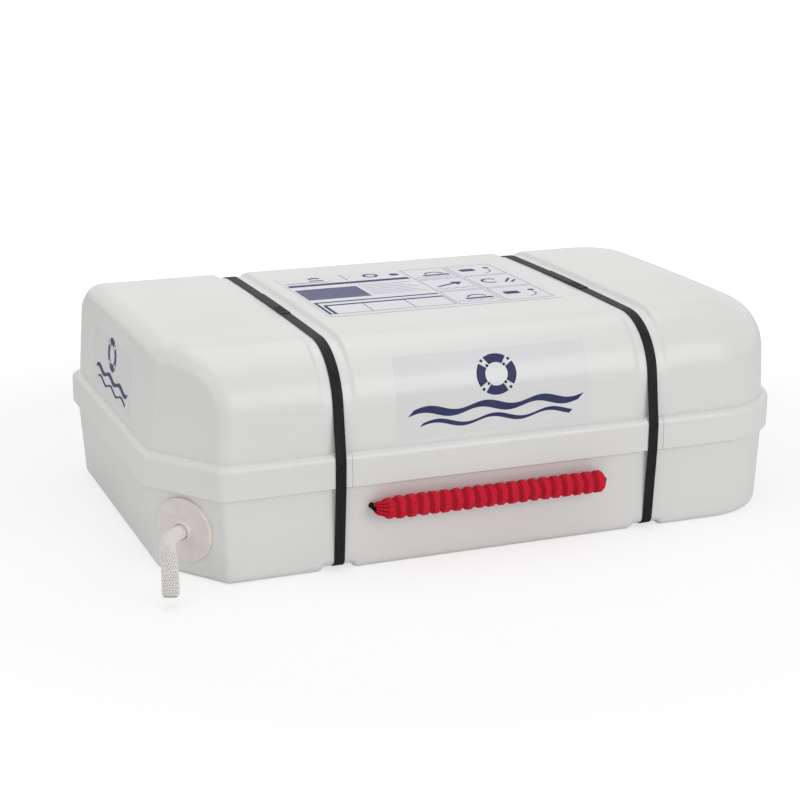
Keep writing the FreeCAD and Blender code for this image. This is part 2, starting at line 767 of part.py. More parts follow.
def handle_ends():
    """Where the cord turns into the shell, beyond each end of the sleeve."""
    reach = size("handle_cord_bend") + size("seat_gap")
    return [SLEEVE_ENDS[0] - reach, SLEEVE_ENDS[1] + reach]


def handle_holes(handle):
    side = handle[1]
    holes = []
    radius = size("handle_cord_radius") + size("handle_cord_fit")
    for place in handle_ends():
        start = Vector(place, side * HALF_WIDTH * 0.8, size("handle_height"))
        holes.append(Part.makeCylinder(radius, HALF_WIDTH * 0.3, start, Vector(0, side, 0)))
    return holes


# where the crest of a gather begins and ends, along the gather
GATHER_SHARES = (0.3, 0.7)


def sleeve_profile():
    """Half section of the gathered sleeve, along X from the bunch to the butt end."""
    bore = size("handle_cord_radius") + size("handle_cord_fit")
    crest = size("gather_radius")
    valley = crest - size("gather_depth")
    length = SLEEVE_ENDS[1] - SLEEVE_ENDS[0]
    count = int(size("gather_count"))
    bunch = size("bunch_length")
    pitch = (length - bunch - size("butt_length")) / count
    lip = size("handle_cord_radius") * 0.4
    places = [
        (0, bore), (0, bore + lip), (bunch * 0.2, bore + (valley - bore) * 0.45),
        (bunch * 0.55, crest * 0.86), (bunch, valley),
    ]
    start = bunch
    for number in range(count):
        # hand-gathered cloth: each gather a little fuller or narrower than the next
        full = crest + size("gather_unevenness") * math.sin(2.4 * number)
        drift = size("gather_drift") * math.sin(1.7 * number) if number < count - 1 else 0.0
        end = bunch + pitch * (number + 1 + drift)
        for share in GATHER_SHARES:
            places.append((start + share * (end - start), full))
        places.append((end, valley))
        start = end
    butt = size("butt_length")
    places += [
        (length - 0.45 * butt, crest * 0.98), (length - 0.1 * butt, crest * 0.8),
        (length, bore + 2 * lip), (length, bore), (0, bore),
    ]
    return Part.Face(Part.makePolygon([Vector(x, 0, z) for x, z in places]))


def make_sleeve(handle):
    middle = handle_axis(handle[1])[0]
    start = Vector(SLEEVE_ENDS[0], middle, size("handle_height"))
    return sleeve_profile().revolve(Vector(0, 0, 0), Vector(1, 0, 0), 360), Placement(start, Rotation())


def make_handle_cord(handle):
    """Cord through the sleeve, turned into the shell at both ends and knotted there."""
    side = handle[1]
    middle, wall = handle_axis(side)
    inside = wall - side * knot_depth()
    left, right = handle_ends()
    height = size("handle_height")
    route = [
        Vector(left, inside, height),
        Vector(left, middle, height),
        Vector(right, middle, height),
        Vector(right, inside, height),
    ]
    cord, length = tube(route, size("handle_cord_radius"), size("handle_cord_bend"))
    for place in (left, right):
        knot = Part.makeSphere(size("knot_radius"), Vector(place, inside, height))
        cord = cord.fuse(knot)
    return cord


def make_washers():
    """Washers that spread the pull of the handle cords on the tray wall."""
    tilt = math.atan(tray_half(0.0).side_slope)
    rings = []
    for handle in HANDLES:
        side = handle[1]
        wall = handle_axis(side)[1]
        face = wall - side * (size("shell_wall") + size("seat_gap"))
        inward = Vector(0, -side * math.cos(tilt), math.sin(tilt))
        for place in handle_ends():
            seat = Vector(place, face, size("handle_height"))
            ring = Part.makeCylinder(size("washer_radius"), size("washer_thickness"), seat, inward)
            hole = Part.makeCylinder(
                size("handle_cord_radius") + size("handle_cord_fit"), 4 * size("washer_thickness"),
                seat - inward * size("washer_thickness"), inward)
            rings.append(ring.cut(hole))
    return Part.makeCompound(rings)


# ---------------------------------------------------------------- packed contents

def floor_height():
    """Highest part of the tray's floor inside, over its strap channels."""
    return size("shell_wall") + size("channel_depth")


def make_raft():
    """Folded raft in its wrapping, filling the canister beside the gas cylinder."""
    gap = size("stow_gap")
    low = floor_height() + size("seat_gap")
    high = size("overall_height") - size("shell_wall") - size("channel_depth") - size("lid_crown") - gap
    lid = lid_half(size("shell_wall"))
    inset = lid.recess + lid.end_slope * (high - LID_BASE) * 0.75
    right = HALF_LENGTH - inset - gap
    half = abs(handle_axis(1)[1]) - knot_depth() - size("knot_radius") - gap / 2
    edge = size("raft_edge")
    corner = size("corner_radius") - lid.recess
    raft_left = -HALF_LENGTH + size("raft_inset")
    corners = [
        (raft_left, -half, edge), (right, -half, corner),
        (right, half, corner), (raft_left, half, edge),
    ]
    block = Part.Face(rounded_wire(corners, low)).extrude(Vector(0, 0, high - low))
    upper = [item for item in block.Edges if item.BoundBox.ZMin > high - 0.01]
    block = block.makeFillet(edge * 0.98, upper)
    lower = [item for item in block.Edges if item.BoundBox.ZMax < low + 0.01]
    return block.makeFillet(edge * 0.5, lower)


BOTTLE_PLACE = -HALF_LENGTH + size("bottle_inset")
BOTTLE_HEIGHT = (
    size("shell_wall") + size("webbing_thickness") + 2 * size("seat_gap") + size("bottle_radius"))


def bottle_frame():
    """Placement of the gas cylinder; its Z axis points toward its head, at the front."""
    back = size("bottle_shift") + size("bottle_length") / 2
    return Placement(Vector(BOTTLE_PLACE, back, BOTTLE_HEIGHT), Rotation(Vector(1, 0, 0), 90))


def make_bottle():
    body = turned_body("gas_cylinder", [
        ("0", "0"),
        ("Sizes.bottle_radius", "0"),
        ("Sizes.bottle_radius", "Sizes.bottle_length"),
        ("Sizes.bottle_neck_radius", "Sizes.bottle_length"),
        ("Sizes.bottle_neck_radius", "Sizes.bottle_length + Sizes.bottle_neck"),
        ("0", "Sizes.bottle_length + Sizes.bottle_neck"),
    ])
    rounded_rims(
        body, "Sizes.bottle_radius * 0.62",
        lambda edge: abs(edge.Curve.Radius - size("bottle_radius")) < 0.01)
    body.Placement = bottle_frame()
    return body


def make_inflation_head():
    """Inflation head on the cylinder's neck, with its outlet toward the raft."""
    start = size("bottle_length") + size("bottle_neck") + size("seat_gap")
    head = doc.addObject("Part::Cylinder", "head_block")
    head.setExpression("Radius", "Sizes.head_radius")
    head.setExpression("Height", "Sizes.head_length")
    port = doc.addObject("Part::Cylinder", "head_outlet")
    port.setExpression("Radius", "Sizes.head_port_radius")
    port.setExpression("Height", "Sizes.head_port")
    port.Placement = Placement(Vector(0, 0, size("head_length") / 2), Rotation(Vector(0, 1, 0), 90))
    joined = doc.addObject("Part::MultiFuse", "inflation_head")
    joined.Shapes = [head, port]
    joined.Label = "inflation_head"
    joined.Placement = bottle_frame().multiply(Placement(Vector(0, 0, start), Rotation()))
    SUB_PARTS.append(joined)
    return joined


def make_webbing():
    """Two bands of webbing that hold the gas cylinder."""
    frame = bottle_frame()
    inner = size("bottle_radius") + size("seat_gap")
    outer = inner + size("webbing_thickness")
    bands = []
    for share in (0.3, 0.7):
        start = Vector(0, 0, size("bottle_length") * share - size("webbing_width") / 2)
        band = Part.makeCylinder(outer, size("webbing_width"), start)
        band = band.cut(Part.makeCylinder(inner, size("webbing_width"), start))
        band.Placement = frame
        bands.append(band)
    return Part.makeCompound(bands)


def make_emergency_pack():
    """Sealed pack of emergency gear, on top of the gas cylinder."""
    length = size("kit_length")
    width = size("kit_width")
    low = BOTTLE_HEIGHT + size("bottle_radius") + size("webbing_thickness") + 3 * size("seat_gap")
    corner = Vector(BOTTLE_PLACE - length / 2, -width / 2, low)
    block = Part.makeBox(length, width, size("kit_height"), corner)
    return block.makeFillet(size("kit_edge"), block.Edges)


# ---------------------------------------------------------------- label

def make_label():
    """Printed label that follows the crown of the lid between the straps."""
    lid = lid_half(0.0)
    radius = lid.crown_radius
    centre = LID_BASE + lid.rise - radius
    left = STRAP_PLACES[0] + size("label_inset")
    length = STRAP_PLACES[1] - size("label_far_inset") - left
    width = size("label_width")
    near = size("label_shift") - width / 2
    far = size("label_shift") + width / 2

    def crown(across, stand):
        reach = radius + stand
        return Vector(left, across, centre + math.sqrt(reach ** 2 - across ** 2))

    low = size("seat_gap") * 0.5
    high = low + size("label_thickness")
    middle = size("label_shift")
    edges = [
        Part.Arc(crown(near, low), crown(middle, low), crown(far, low)).toShape(),
        Part.LineSegment(crown(far, low), crown(far, high)).toShape(),
        Part.Arc(crown(far, high), crown(middle, high), crown(near, high)).toShape(),
        Part.LineSegment(crown(near, high), crown(near, low)).toShape(),
    ]
    sheet_form = Part.Face(Part.Wire(edges)).extrude(Vector(length, 0, 0))
    upright = [edge for edge in sheet_form.Edges if edge.Length < 2 * size("label_thickness")]
    return sheet_form.makeFillet(size("label_corner"), upright)


sub_part("upper_shell", make_lid())
sub_part("lower_shell", make_tray())
sub_part("rim_seal", make_rim_seal())
for place, name in zip(STRAP_PLACES, ("burst_strap_left", "burst_strap_right")):
    sub_part(name, make_strap(place))
make_gland()
make_gland_nut()
sub_part("painter_hank", make_painter_hank())
sub_part("painter_line", make_painter_line())
for handle in HANDLES:
    sub_part("handle_sleeve_" + handle[0], *make_sleeve(handle))
    sub_part("handle_cord_" + handle[0], make_handle_cord(handle))
sub_part("handle_washers", make_washers())
sub_part("packed_raft", make_raft())
make_bottle()
make_inflation_head()
sub_part("cylinder_webbing", make_webbing())
sub_part("emergency_pack", make_emergency_pack())
sub_part("instruction_label", make_label())

doc.recompute()
for item in doc.Objects:
    if "Invalid" in item.State or "Error" in item.State:
        raise RuntimeError(f"{item.Name} failed: {item.State}")

os.makedirs("parts", exist_ok=True)
for feature in SUB_PARTS:
    if feature.Shape.isNull() or not feature.Shape.isValid():
        raise RuntimeError(f"{feature.Label} has no valid shape")
    feature.Shape.exportStep(f"parts/{feature.Label}.step")
    print(feature.Label, len(feature.Shape.Solids), round(feature.Shape.Volume))
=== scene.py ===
# Liferaft canister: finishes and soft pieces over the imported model.
import json
import math

import bmesh
import bpy
from mathutils import Matrix, Vector
from mathutils.bvhtree import BVHTree

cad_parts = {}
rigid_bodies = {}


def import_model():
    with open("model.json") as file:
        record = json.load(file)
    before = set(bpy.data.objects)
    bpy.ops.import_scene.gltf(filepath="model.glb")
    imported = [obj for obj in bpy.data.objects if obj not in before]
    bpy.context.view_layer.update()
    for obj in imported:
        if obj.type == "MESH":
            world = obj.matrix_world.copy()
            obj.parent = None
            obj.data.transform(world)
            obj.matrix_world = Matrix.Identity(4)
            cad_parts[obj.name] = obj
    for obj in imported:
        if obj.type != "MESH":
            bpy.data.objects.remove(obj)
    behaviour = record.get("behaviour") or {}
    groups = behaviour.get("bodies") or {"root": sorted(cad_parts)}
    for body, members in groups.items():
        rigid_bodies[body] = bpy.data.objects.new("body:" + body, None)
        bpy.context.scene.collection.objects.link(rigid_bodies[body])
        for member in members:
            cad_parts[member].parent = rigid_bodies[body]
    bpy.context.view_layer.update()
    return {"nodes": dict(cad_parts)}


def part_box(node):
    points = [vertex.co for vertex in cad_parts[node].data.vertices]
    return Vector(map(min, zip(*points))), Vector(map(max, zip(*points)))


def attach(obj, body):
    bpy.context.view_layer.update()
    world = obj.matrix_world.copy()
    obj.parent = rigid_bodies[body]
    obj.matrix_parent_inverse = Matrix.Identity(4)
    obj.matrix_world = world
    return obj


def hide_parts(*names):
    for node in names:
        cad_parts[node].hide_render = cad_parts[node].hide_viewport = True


for item in list(bpy.data.objects):
    bpy.data.objects.remove(item, do_unlink=True)
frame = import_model()
nodes = frame["nodes"]
mm = 0.001
print("frame loaded:", len(nodes), "nodes")


# small helpers

def newObject(name, data):
    made = bpy.data.objects.new(name, data)
    bpy.context.collection.objects.link(made)
    return made


def treeOf(name):
    mesh = nodes[name].data
    return BVHTree.FromPolygons(
        [vertex.co.copy() for vertex in mesh.vertices],
        [tuple(face.vertices) for face in mesh.polygons])


def newMaterial(name):
    material = bpy.data.materials.new(name)
    material.use_nodes = True
    return material, material.node_tree, material.node_tree.nodes["Principled BSDF"]


def addNode(tree, kind, inputs=None, **settings):
    made = tree.nodes.new(kind)
    for key, value in settings.items():
        setattr(made, key, value)
    for key, value in (inputs or {}).items():
        if isinstance(value, bpy.types.NodeSocket):
            tree.links.new(value, made.inputs[key])
        else:
            made.inputs[key].default_value = value
    return made


def noiseOn(tree, vector, scale, detail=3.0, roughness=0.5):
    return addNode(tree, "ShaderNodeTexNoise", {
        "Vector": vector, "Scale": scale, "Detail": detail, "Roughness": roughness,
    }).outputs["Fac"]


def remap(tree, value, low, high, fromLow=0.0, fromHigh=1.0):
    return addNode(tree, "ShaderNodeMapRange", {
        "Value": value, "From Min": fromLow, "From Max": fromHigh, "To Min": low, "To Max": high,
    }).outputs["Result"]


def mixColours(tree, fac, first, second):
    made = addNode(tree, "ShaderNodeMix", {"Factor": fac}, data_type="RGBA")
    for socket, colour in ((made.inputs[6], first), (made.inputs[7], second)):
        if isinstance(colour, bpy.types.NodeSocket):
            tree.links.new(colour, socket)
        else:
            socket.default_value = (*colour, 1.0)
    return made.outputs[2]


def mathNode(tree, operation, first, second=0.0):
    made = addNode(tree, "ShaderNodeMath", operation=operation)
    for socket, value in zip(made.inputs, (first, second)):
        if isinstance(value, bpy.types.NodeSocket):
            tree.links.new(value, socket)
        else:
            socket.default_value = value
    return made.outputs[0]


def bumpOf(tree, height, strength, distance, before=None):
    inputs = {"Height": height, "Strength": strength, "Distance": distance}
    if before:
        inputs["Normal"] = before
    return addNode(tree, "ShaderNodeBump", inputs).outputs["Normal"]


def objectPlace(tree):
    return addNode(tree, "ShaderNodeTexCoord").outputs["Object"]


# finishes

shellFinish = {"light": (0.82, 0.82, 0.805), "shade": (0.77, 0.77, 0.755), "gloss": 0.32}


def makeShellWhite():
    material, tree, shader = newMaterial("glossyWhiteMoulding")
    place = objectPlace(tree)
    cloud = noiseOn(tree, place, 3.0, 2.0)
    scuffs = noiseOn(tree, addNode(tree, "ShaderNodeMapping", {
        "Vector": place, "Scale": (3.0, 3.0, 12.0)}).outputs[0], 4.0, 2.0, 0.5)
    colour = mixColours(
        tree, remap(tree, cloud, 0.0, 1.0, 0.35, 0.65), shellFinish["light"], shellFinish["shade"])
    tree.links.new(colour, shader.inputs["Base Color"])
    rough = remap(tree, scuffs, shellFinish["gloss"] - 0.03, shellFinish["gloss"] + 0.07)
    tree.links.new(rough, shader.inputs["Roughness"])
    wavy = bumpOf(tree, noiseOn(tree, place, 5.0, 0.0), 0.2, 0.0016)
    tree.links.new(wavy, shader.inputs["Normal"])
    shader.inputs["Coat Weight"].default_value = 0.22
    shader.inputs["Coat Roughness"].default_value = 0.12
    return material


waveScale = 0.314    # a wave texture's scale, times the pitch of its bands in metres
strapFinish = {
    "black": (0.008, 0.008, 0.009),
    "worn": (0.034, 0.034, 0.036),
    "ribPitch": 1.0 * mm,
}


def makeStrapBlack():
    material, tree, shader = newMaterial("strapBlack")
    place = objectPlace(tree)
    along = addNode(tree, "ShaderNodeMapping", {
        "Vector": place, "Scale": (220.0, 12.0, 12.0)}).outputs[0]
    fibre = noiseOn(tree, along, 6.0, 4.0, 0.6)
    tree.links.new(
        mixColours(
            tree, remap(tree, fibre, 0.0, 1.0, 0.42, 0.8), strapFinish["black"], strapFinish["worn"]),
        shader.inputs["Base Color"])
    tree.links.new(remap(tree, fibre, 0.42, 0.62), shader.inputs["Roughness"])
    ribs = addNode(tree, "ShaderNodeTexWave", {
        "Vector": place, "Scale": waveScale / strapFinish["ribPitch"], "Distortion": 0.4,
    }, bands_direction="X").outputs["Fac"]
    ribbed = bumpOf(tree, ribs, 0.35, 0.00012)
    tree.links.new(bumpOf(tree, fibre, 0.2, 0.0002, ribbed), shader.inputs["Normal"])
    shader.inputs["Specular IOR Level"].default_value = 0.14
    return material


# a finish with mottled colour and a fine grain
def makePlain(name, colour, second, roughness, grain, depth, metallic=0.0, specular=0.5, spread=0.12):
    material, tree, shader = newMaterial(name)
    place = objectPlace(tree)
    mottle = noiseOn(tree, place, grain * 0.15, 3.0)
    fine = noiseOn(tree, place, grain, 4.0, 0.6)
    tree.links.new(
        mixColours(tree, remap(tree, mottle, 0.0, 1.0, 0.35, 0.65), colour, second),
        shader.inputs["Base Color"])
    tree.links.new(remap(tree, fine, roughness, roughness + spread), shader.inputs["Roughness"])
    tree.links.new(bumpOf(tree, fine, 0.3, depth), shader.inputs["Normal"])
    shader.inputs["Metallic"].default_value = metallic
    shader.inputs["Specular IOR Level"].default_value = specular
    return material


handleFinish = {
    "crest": (0.72, 0.012, 0.040),
    # painted shade for cloth pinched between puffs and in the bunch's pleats
    "foldShade": (0.27, 0.002, 0.008),
    # painted shade: the darker red laid into the cloth's creases
    "creaseWithShade": (0.24, 0.003, 0.010),
    "threadPitch": 0.7 * mm,
}


def makeHandleRed():
    # the sleeve's own attribute says how deep in a fold the cloth is; the fold colour paints shade there
    # as a darker red
    material, tree, shader = newMaterial("ruchedRedCloth")
    foldShade = addNode(tree, "ShaderNodeAttribute", attribute_name="foldShade").outputs["Fac"]
    cloth = addNode(tree, "ShaderNodeAttribute", attribute_name="clothMap").outputs["Vector"]
    patch = noiseOn(tree, objectPlace(tree), 160.0, 3.0)
    foldShaded = mixColours(tree, foldShade, handleFinish["crest"], handleFinish["foldShade"])
    creased = addNode(tree, "ShaderNodeMapping", {
        "Vector": cloth, "Scale": (900.0, 70.0, 1.0)}).outputs[0]
    # this noise bumps the creases and also paints shade into them
    creaseWithShade = noiseOn(tree, creased, 1.0, 3.0, 0.6)
    tree.links.new(
        mixColours(tree, remap(tree, creaseWithShade, 0.0, 0.6, 0.42, 0.75), foldShaded, handleFinish["creaseWithShade"]),
        shader.inputs["Base Color"])
    shader.inputs["Roughness"].default_value = 0.82
    shader.inputs["Specular IOR Level"].default_value = 0.2
    shader.inputs["Sheen Weight"].default_value = 0.12
    shader.inputs["Sheen Roughness"].default_value = 0.5
    shader.inputs["Sheen Tint"].default_value = (1.0, 0.15, 0.2, 1.0)
    threads = []
    for direction in ("X", "Y"):
        threads.append(addNode(tree, "ShaderNodeTexWave", {
            "Vector": cloth, "Scale": waveScale / handleFinish["threadPitch"], "Distortion": 0.6,
        }, bands_direction=direction).outputs["Fac"])
    weave = bumpOf(tree, mathNode(tree, "MULTIPLY", *threads), 0.4, 0.0002)
    rumpled = bumpOf(tree, patch, 0.3, 0.0005, weave)
    tree.links.new(bumpOf(tree, creaseWithShade, 0.6, 0.0007, rumpled), shader.inputs["Normal"])
    return material


ropeFinish = {
    "light": (0.96, 0.945, 0.92),
    "shade": (0.88, 0.86, 0.83),
    "soil": (0.70, 0.67, 0.63),
    # painted shade between the yarns, where the braid lies low
    "gap": (0.24, 0.225, 0.205),    # between the yarns
}


def makeRope(name="painterBraid", crowned=True):
    # the braid's own attribute says how far a yarn stands out; low spots between the yarns take the gap
    # colour as painted shade
    material, tree, shader = newMaterial(name)
    place = objectPlace(tree)
    fibre = noiseOn(tree, place, 900.0, 4.0, 0.7)
    soil = noiseOn(tree, place, 45.0, 3.0)
    clean = mixColours(
        tree, remap(tree, fibre, 0.0, 1.0, 0.3, 0.7), ropeFinish["light"], ropeFinish["shade"])
    soiledAndShaded = mixColours(tree, remap(tree, soil, 0.0, 0.35, 0.45, 0.8), clean, ropeFinish["soil"])
    if crowned:
        crown = addNode(tree, "ShaderNodeAttribute", attribute_name="crown").outputs["Fac"]
        # painted shade: darker toward the yarns' beds, on top of the real soiling
        soiledAndShaded = mixColours(tree, remap(tree, crown, 0.0, 1.0, 0.2, 1.1), ropeFinish["gap"], soiledAndShaded)
    tree.links.new(soiledAndShaded, shader.inputs["Base Color"])
    shader.inputs["Roughness"].default_value = 0.7
    shader.inputs["Sheen Weight"].default_value = 0.2
    tree.links.new(bumpOf(tree, fibre, 0.5, 0.0003), shader.inputs["Normal"])
    return material


white = makeShellWhite()
finishes = {
    "upper_shell": white,
    "lower_shell": white,
    "rim_seal": makePlain("sealRubber", (0.03, 0.03, 0.03), (0.05, 0.05, 0.05), 0.7, 500.0, 0.0002),
    "painter_gland": makePlain(
        "glandBeige", (0.86, 0.81, 0.765), (0.80, 0.745, 0.70), 0.42, 420.0, 0.00012),
    "gland_nut": makePlain("glandNut", (0.56, 0.50, 0.44), (0.5, 0.44, 0.39), 0.45, 300.0, 0.0002),
    "handle_washers": makePlain(
        "washerSteel", (0.62, 0.62, 0.63), (0.5, 0.5, 0.52), 0.28, 900.0, 0.00005, metallic=1.0),
    "gas_cylinder": makePlain(
        "cylinderPaint", (0.10, 0.11, 0.12), (0.14, 0.15, 0.16), 0.35, 350.0, 0.0001),
    "inflation_head": makePlain(
        "headBrass", (0.63, 0.45, 0.20), (0.50, 0.34, 0.14), 0.3, 700.0, 0.00008, metallic=1.0),
    "packed_raft": makePlain("raftWrap", (0.50, 0.12, 0.01), (0.42, 0.09, 0.01), 0.5, 120.0, 0.001),
    "emergency_pack": makePlain(
        "packCloth", (0.55, 0.40, 0.02), (0.48, 0.34, 0.02), 0.6, 200.0, 0.0008),
    "painter_hank": makeRope("hankBraid", crowned=False),
    "instruction_label": makePlain(
        "labelFilm", (0.82, 0.82, 0.85), (0.79, 0.79, 0.825), 0.3, 60.0, 0.00005),
}
strapBlack = makeStrapBlack()
cordBlack = makePlain(
    "handleCordBlack", (0.004, 0.004, 0.004), (0.009, 0.009, 0.009), 0.8, 1500.0, 0.0003, specular=0.1)
webbing = makePlain("cylinderWebbing", (0.03, 0.03, 0.035), (0.05, 0.05, 0.055), 0.75, 900.0, 0.0004)
for name, node in nodes.items():
    if name.startswith("burst_strap"):
        finishes[name] = strapBlack
    elif name.startswith("handle_cord"):
        finishes[name] = cordBlack
    elif name == "cylinder_webbing":
        finishes[name] = webbing
    if name in finishes:
        for slot in node.material_slots:
            slot.material = finishes[name]
print("finishes on", len(finishes), "nodes")


# building pieces

def meshPiece(name, mesh, material, ridesOn="root"):
    piece = newObject(name, mesh)
    mesh.materials.clear()
    mesh.materials.append(material)
    for face in mesh.polygons:
        face.use_smooth = True
        face.material_index = 0
    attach(piece, ridesOn)
    return piece


# the evaluated mesh of an object, as a plain mesh; the object is removed
def applied(modified):
    graph = bpy.context.evaluated_depsgraph_get()
    mesh = bpy.data.meshes.new_from_object(modified.evaluated_get(graph))
    bpy.data.objects.remove(modified, do_unlink=True)
    return mesh


# a Geometry Nodes tree under construction
class Tree:

    def __init__(self, name, sizes):
        self.tree = bpy.data.node_groups.new(name, "GeometryNodeTree")
        self.sizes = {}
        self.tree.interface.new_socket("Geometry", in_out="INPUT", socket_type="NodeSocketGeometry")
        for key, value in sizes.items():
            kind = "NodeSocketInt" if isinstance(value, int) else "NodeSocketFloat"
            self.sizes[key] = self.tree.interface.new_socket(key, in_out="INPUT", socket_type=kind)
        self.tree.interface.new_socket("Geometry", in_out="OUTPUT", socket_type="NodeSocketGeometry")
        self.start = self.tree.nodes.new("NodeGroupInput")
        self.end = self.tree.nodes.new("NodeGroupOutput")
        self.values = sizes

    def size(self, key):
        return self.start.outputs[key]

    def add(self, kind, inputs=None, **settings):
        return addNode(self.tree, kind, inputs, **settings)

    def maths(self, operation, first, second=0.0):
        return mathNode(self.tree, operation, first, second)

    def total(self, first, *others):
        for other in others:
            first = self.maths("ADD", first, other)
        return first

    def less(self, first, second):
        return self.maths("SUBTRACT", first, second)

    def product(self, first, *others):
        for other in others:
            first = self.maths("MULTIPLY", first, other)
        return first

    def over(self, first, second):
        return self.maths("DIVIDE", first, second)

    # a value's place between two others, from 0 to 1
    def between(self, value, low, high, **settings):
        return self.add("ShaderNodeMapRange", {
            "Value": value, "From Min": low, "From Max": high}, **settings).outputs[0]

    def stored(self, geometry, name, value, kind="FLOAT"):
        return self.add("GeometryNodeStoreNamedAttribute", {
            "Geometry": geometry, "Name": name, "Value": value}, data_type=kind).outputs[0]

    def joinedXYZ(self, **parts):
        return self.add("ShaderNodeCombineXYZ", parts).outputs[0]

    def vector(self, operation, first, second=(0.0, 0.0, 0.0), scale=None):
        made = self.add("ShaderNodeVectorMath", operation=operation)
        for socket, value in zip(made.inputs, (first, second)):
            if isinstance(value, bpy.types.NodeSocket):
                self.tree.links.new(value, socket)
            else:
                socket.default_value = value
        if scale is not None:
            if isinstance(scale, bpy.types.NodeSocket):
                self.tree.links.new(scale, made.inputs["Scale"])
            else:
                made.inputs["Scale"].default_value = scale
        return made.outputs[0]

    def finishOn(self, carrier, geometry, material):
        whole = self.add("GeometryNodeRealizeInstances", {"Geometry": geometry})
        coated = self.add("GeometryNodeSetMaterial", {
            "Geometry": whole.outputs[0], "Material": material})
        self.tree.links.new(coated.outputs[0], self.end.inputs[0])
        modifier = carrier.modifiers.new(self.tree.name, "NODES")
        modifier.node_group = self.tree
        for key, socket in self.sizes.items():
            modifier[socket.identifier] = self.values[key]
        return applied(carrier)


# painter: a braid over a core, hanging from the gland, its bare end sealed with heat

painter = {
    "radius": 8.0 * mm,
    "yarn": 1.02 * mm,        # radius of one yarn; they run in pairs
    "carriers": 9,            # pairs of yarns each way round
    "turns": 2.15,            # of a yarn round the line, from end to end
    "weave": 0.7,             # how far a yarn rises over the next, in yarn radii
    "sunk": 1.5,              # middle of the yarns below the surface, in yarn radii
    "core": 0.93,             # of the radius on which the yarns lie
    "tight": 0.94,            # girth where the gland grips it
    "loose": 0.32,            # gained toward the bare end
    "loosening": 1.3,         # power of that gain along the line
    "sealFrom": 0.93,         # share of the line where the sealed end begins
    "sealPinch": 60.0,        # girth lost past it, per squared share
    "samples": 250,
    "yarnSides": 6,
    "coreSides": 20,
    "route": [                # the gland's mouth first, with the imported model's points
        (-0.3592, -0.1894, 0.0546), (-0.3720, -0.1990, 0.0539), (-0.3810, -0.2148, 0.0525),
        (-0.3846, -0.2358, 0.0466), (-0.3874, -0.2523, 0.0320), (-0.3900, -0.2608, 0.0123)],
}


def smoothRoute(name, points):
    curve = bpy.data.curves.new(name, "CURVE")
    curve.dimensions = "3D"
    curve.resolution_u = 16
    spline = curve.splines.new("NURBS")
    spline.points.add(len(points) - 1)
    for control, place in zip(spline.points, points):
        control.co = (*place, 1.0)
    spline.order_u = 3
    spline.use_endpoint_u = True
    return applied(newObject(name, curve))


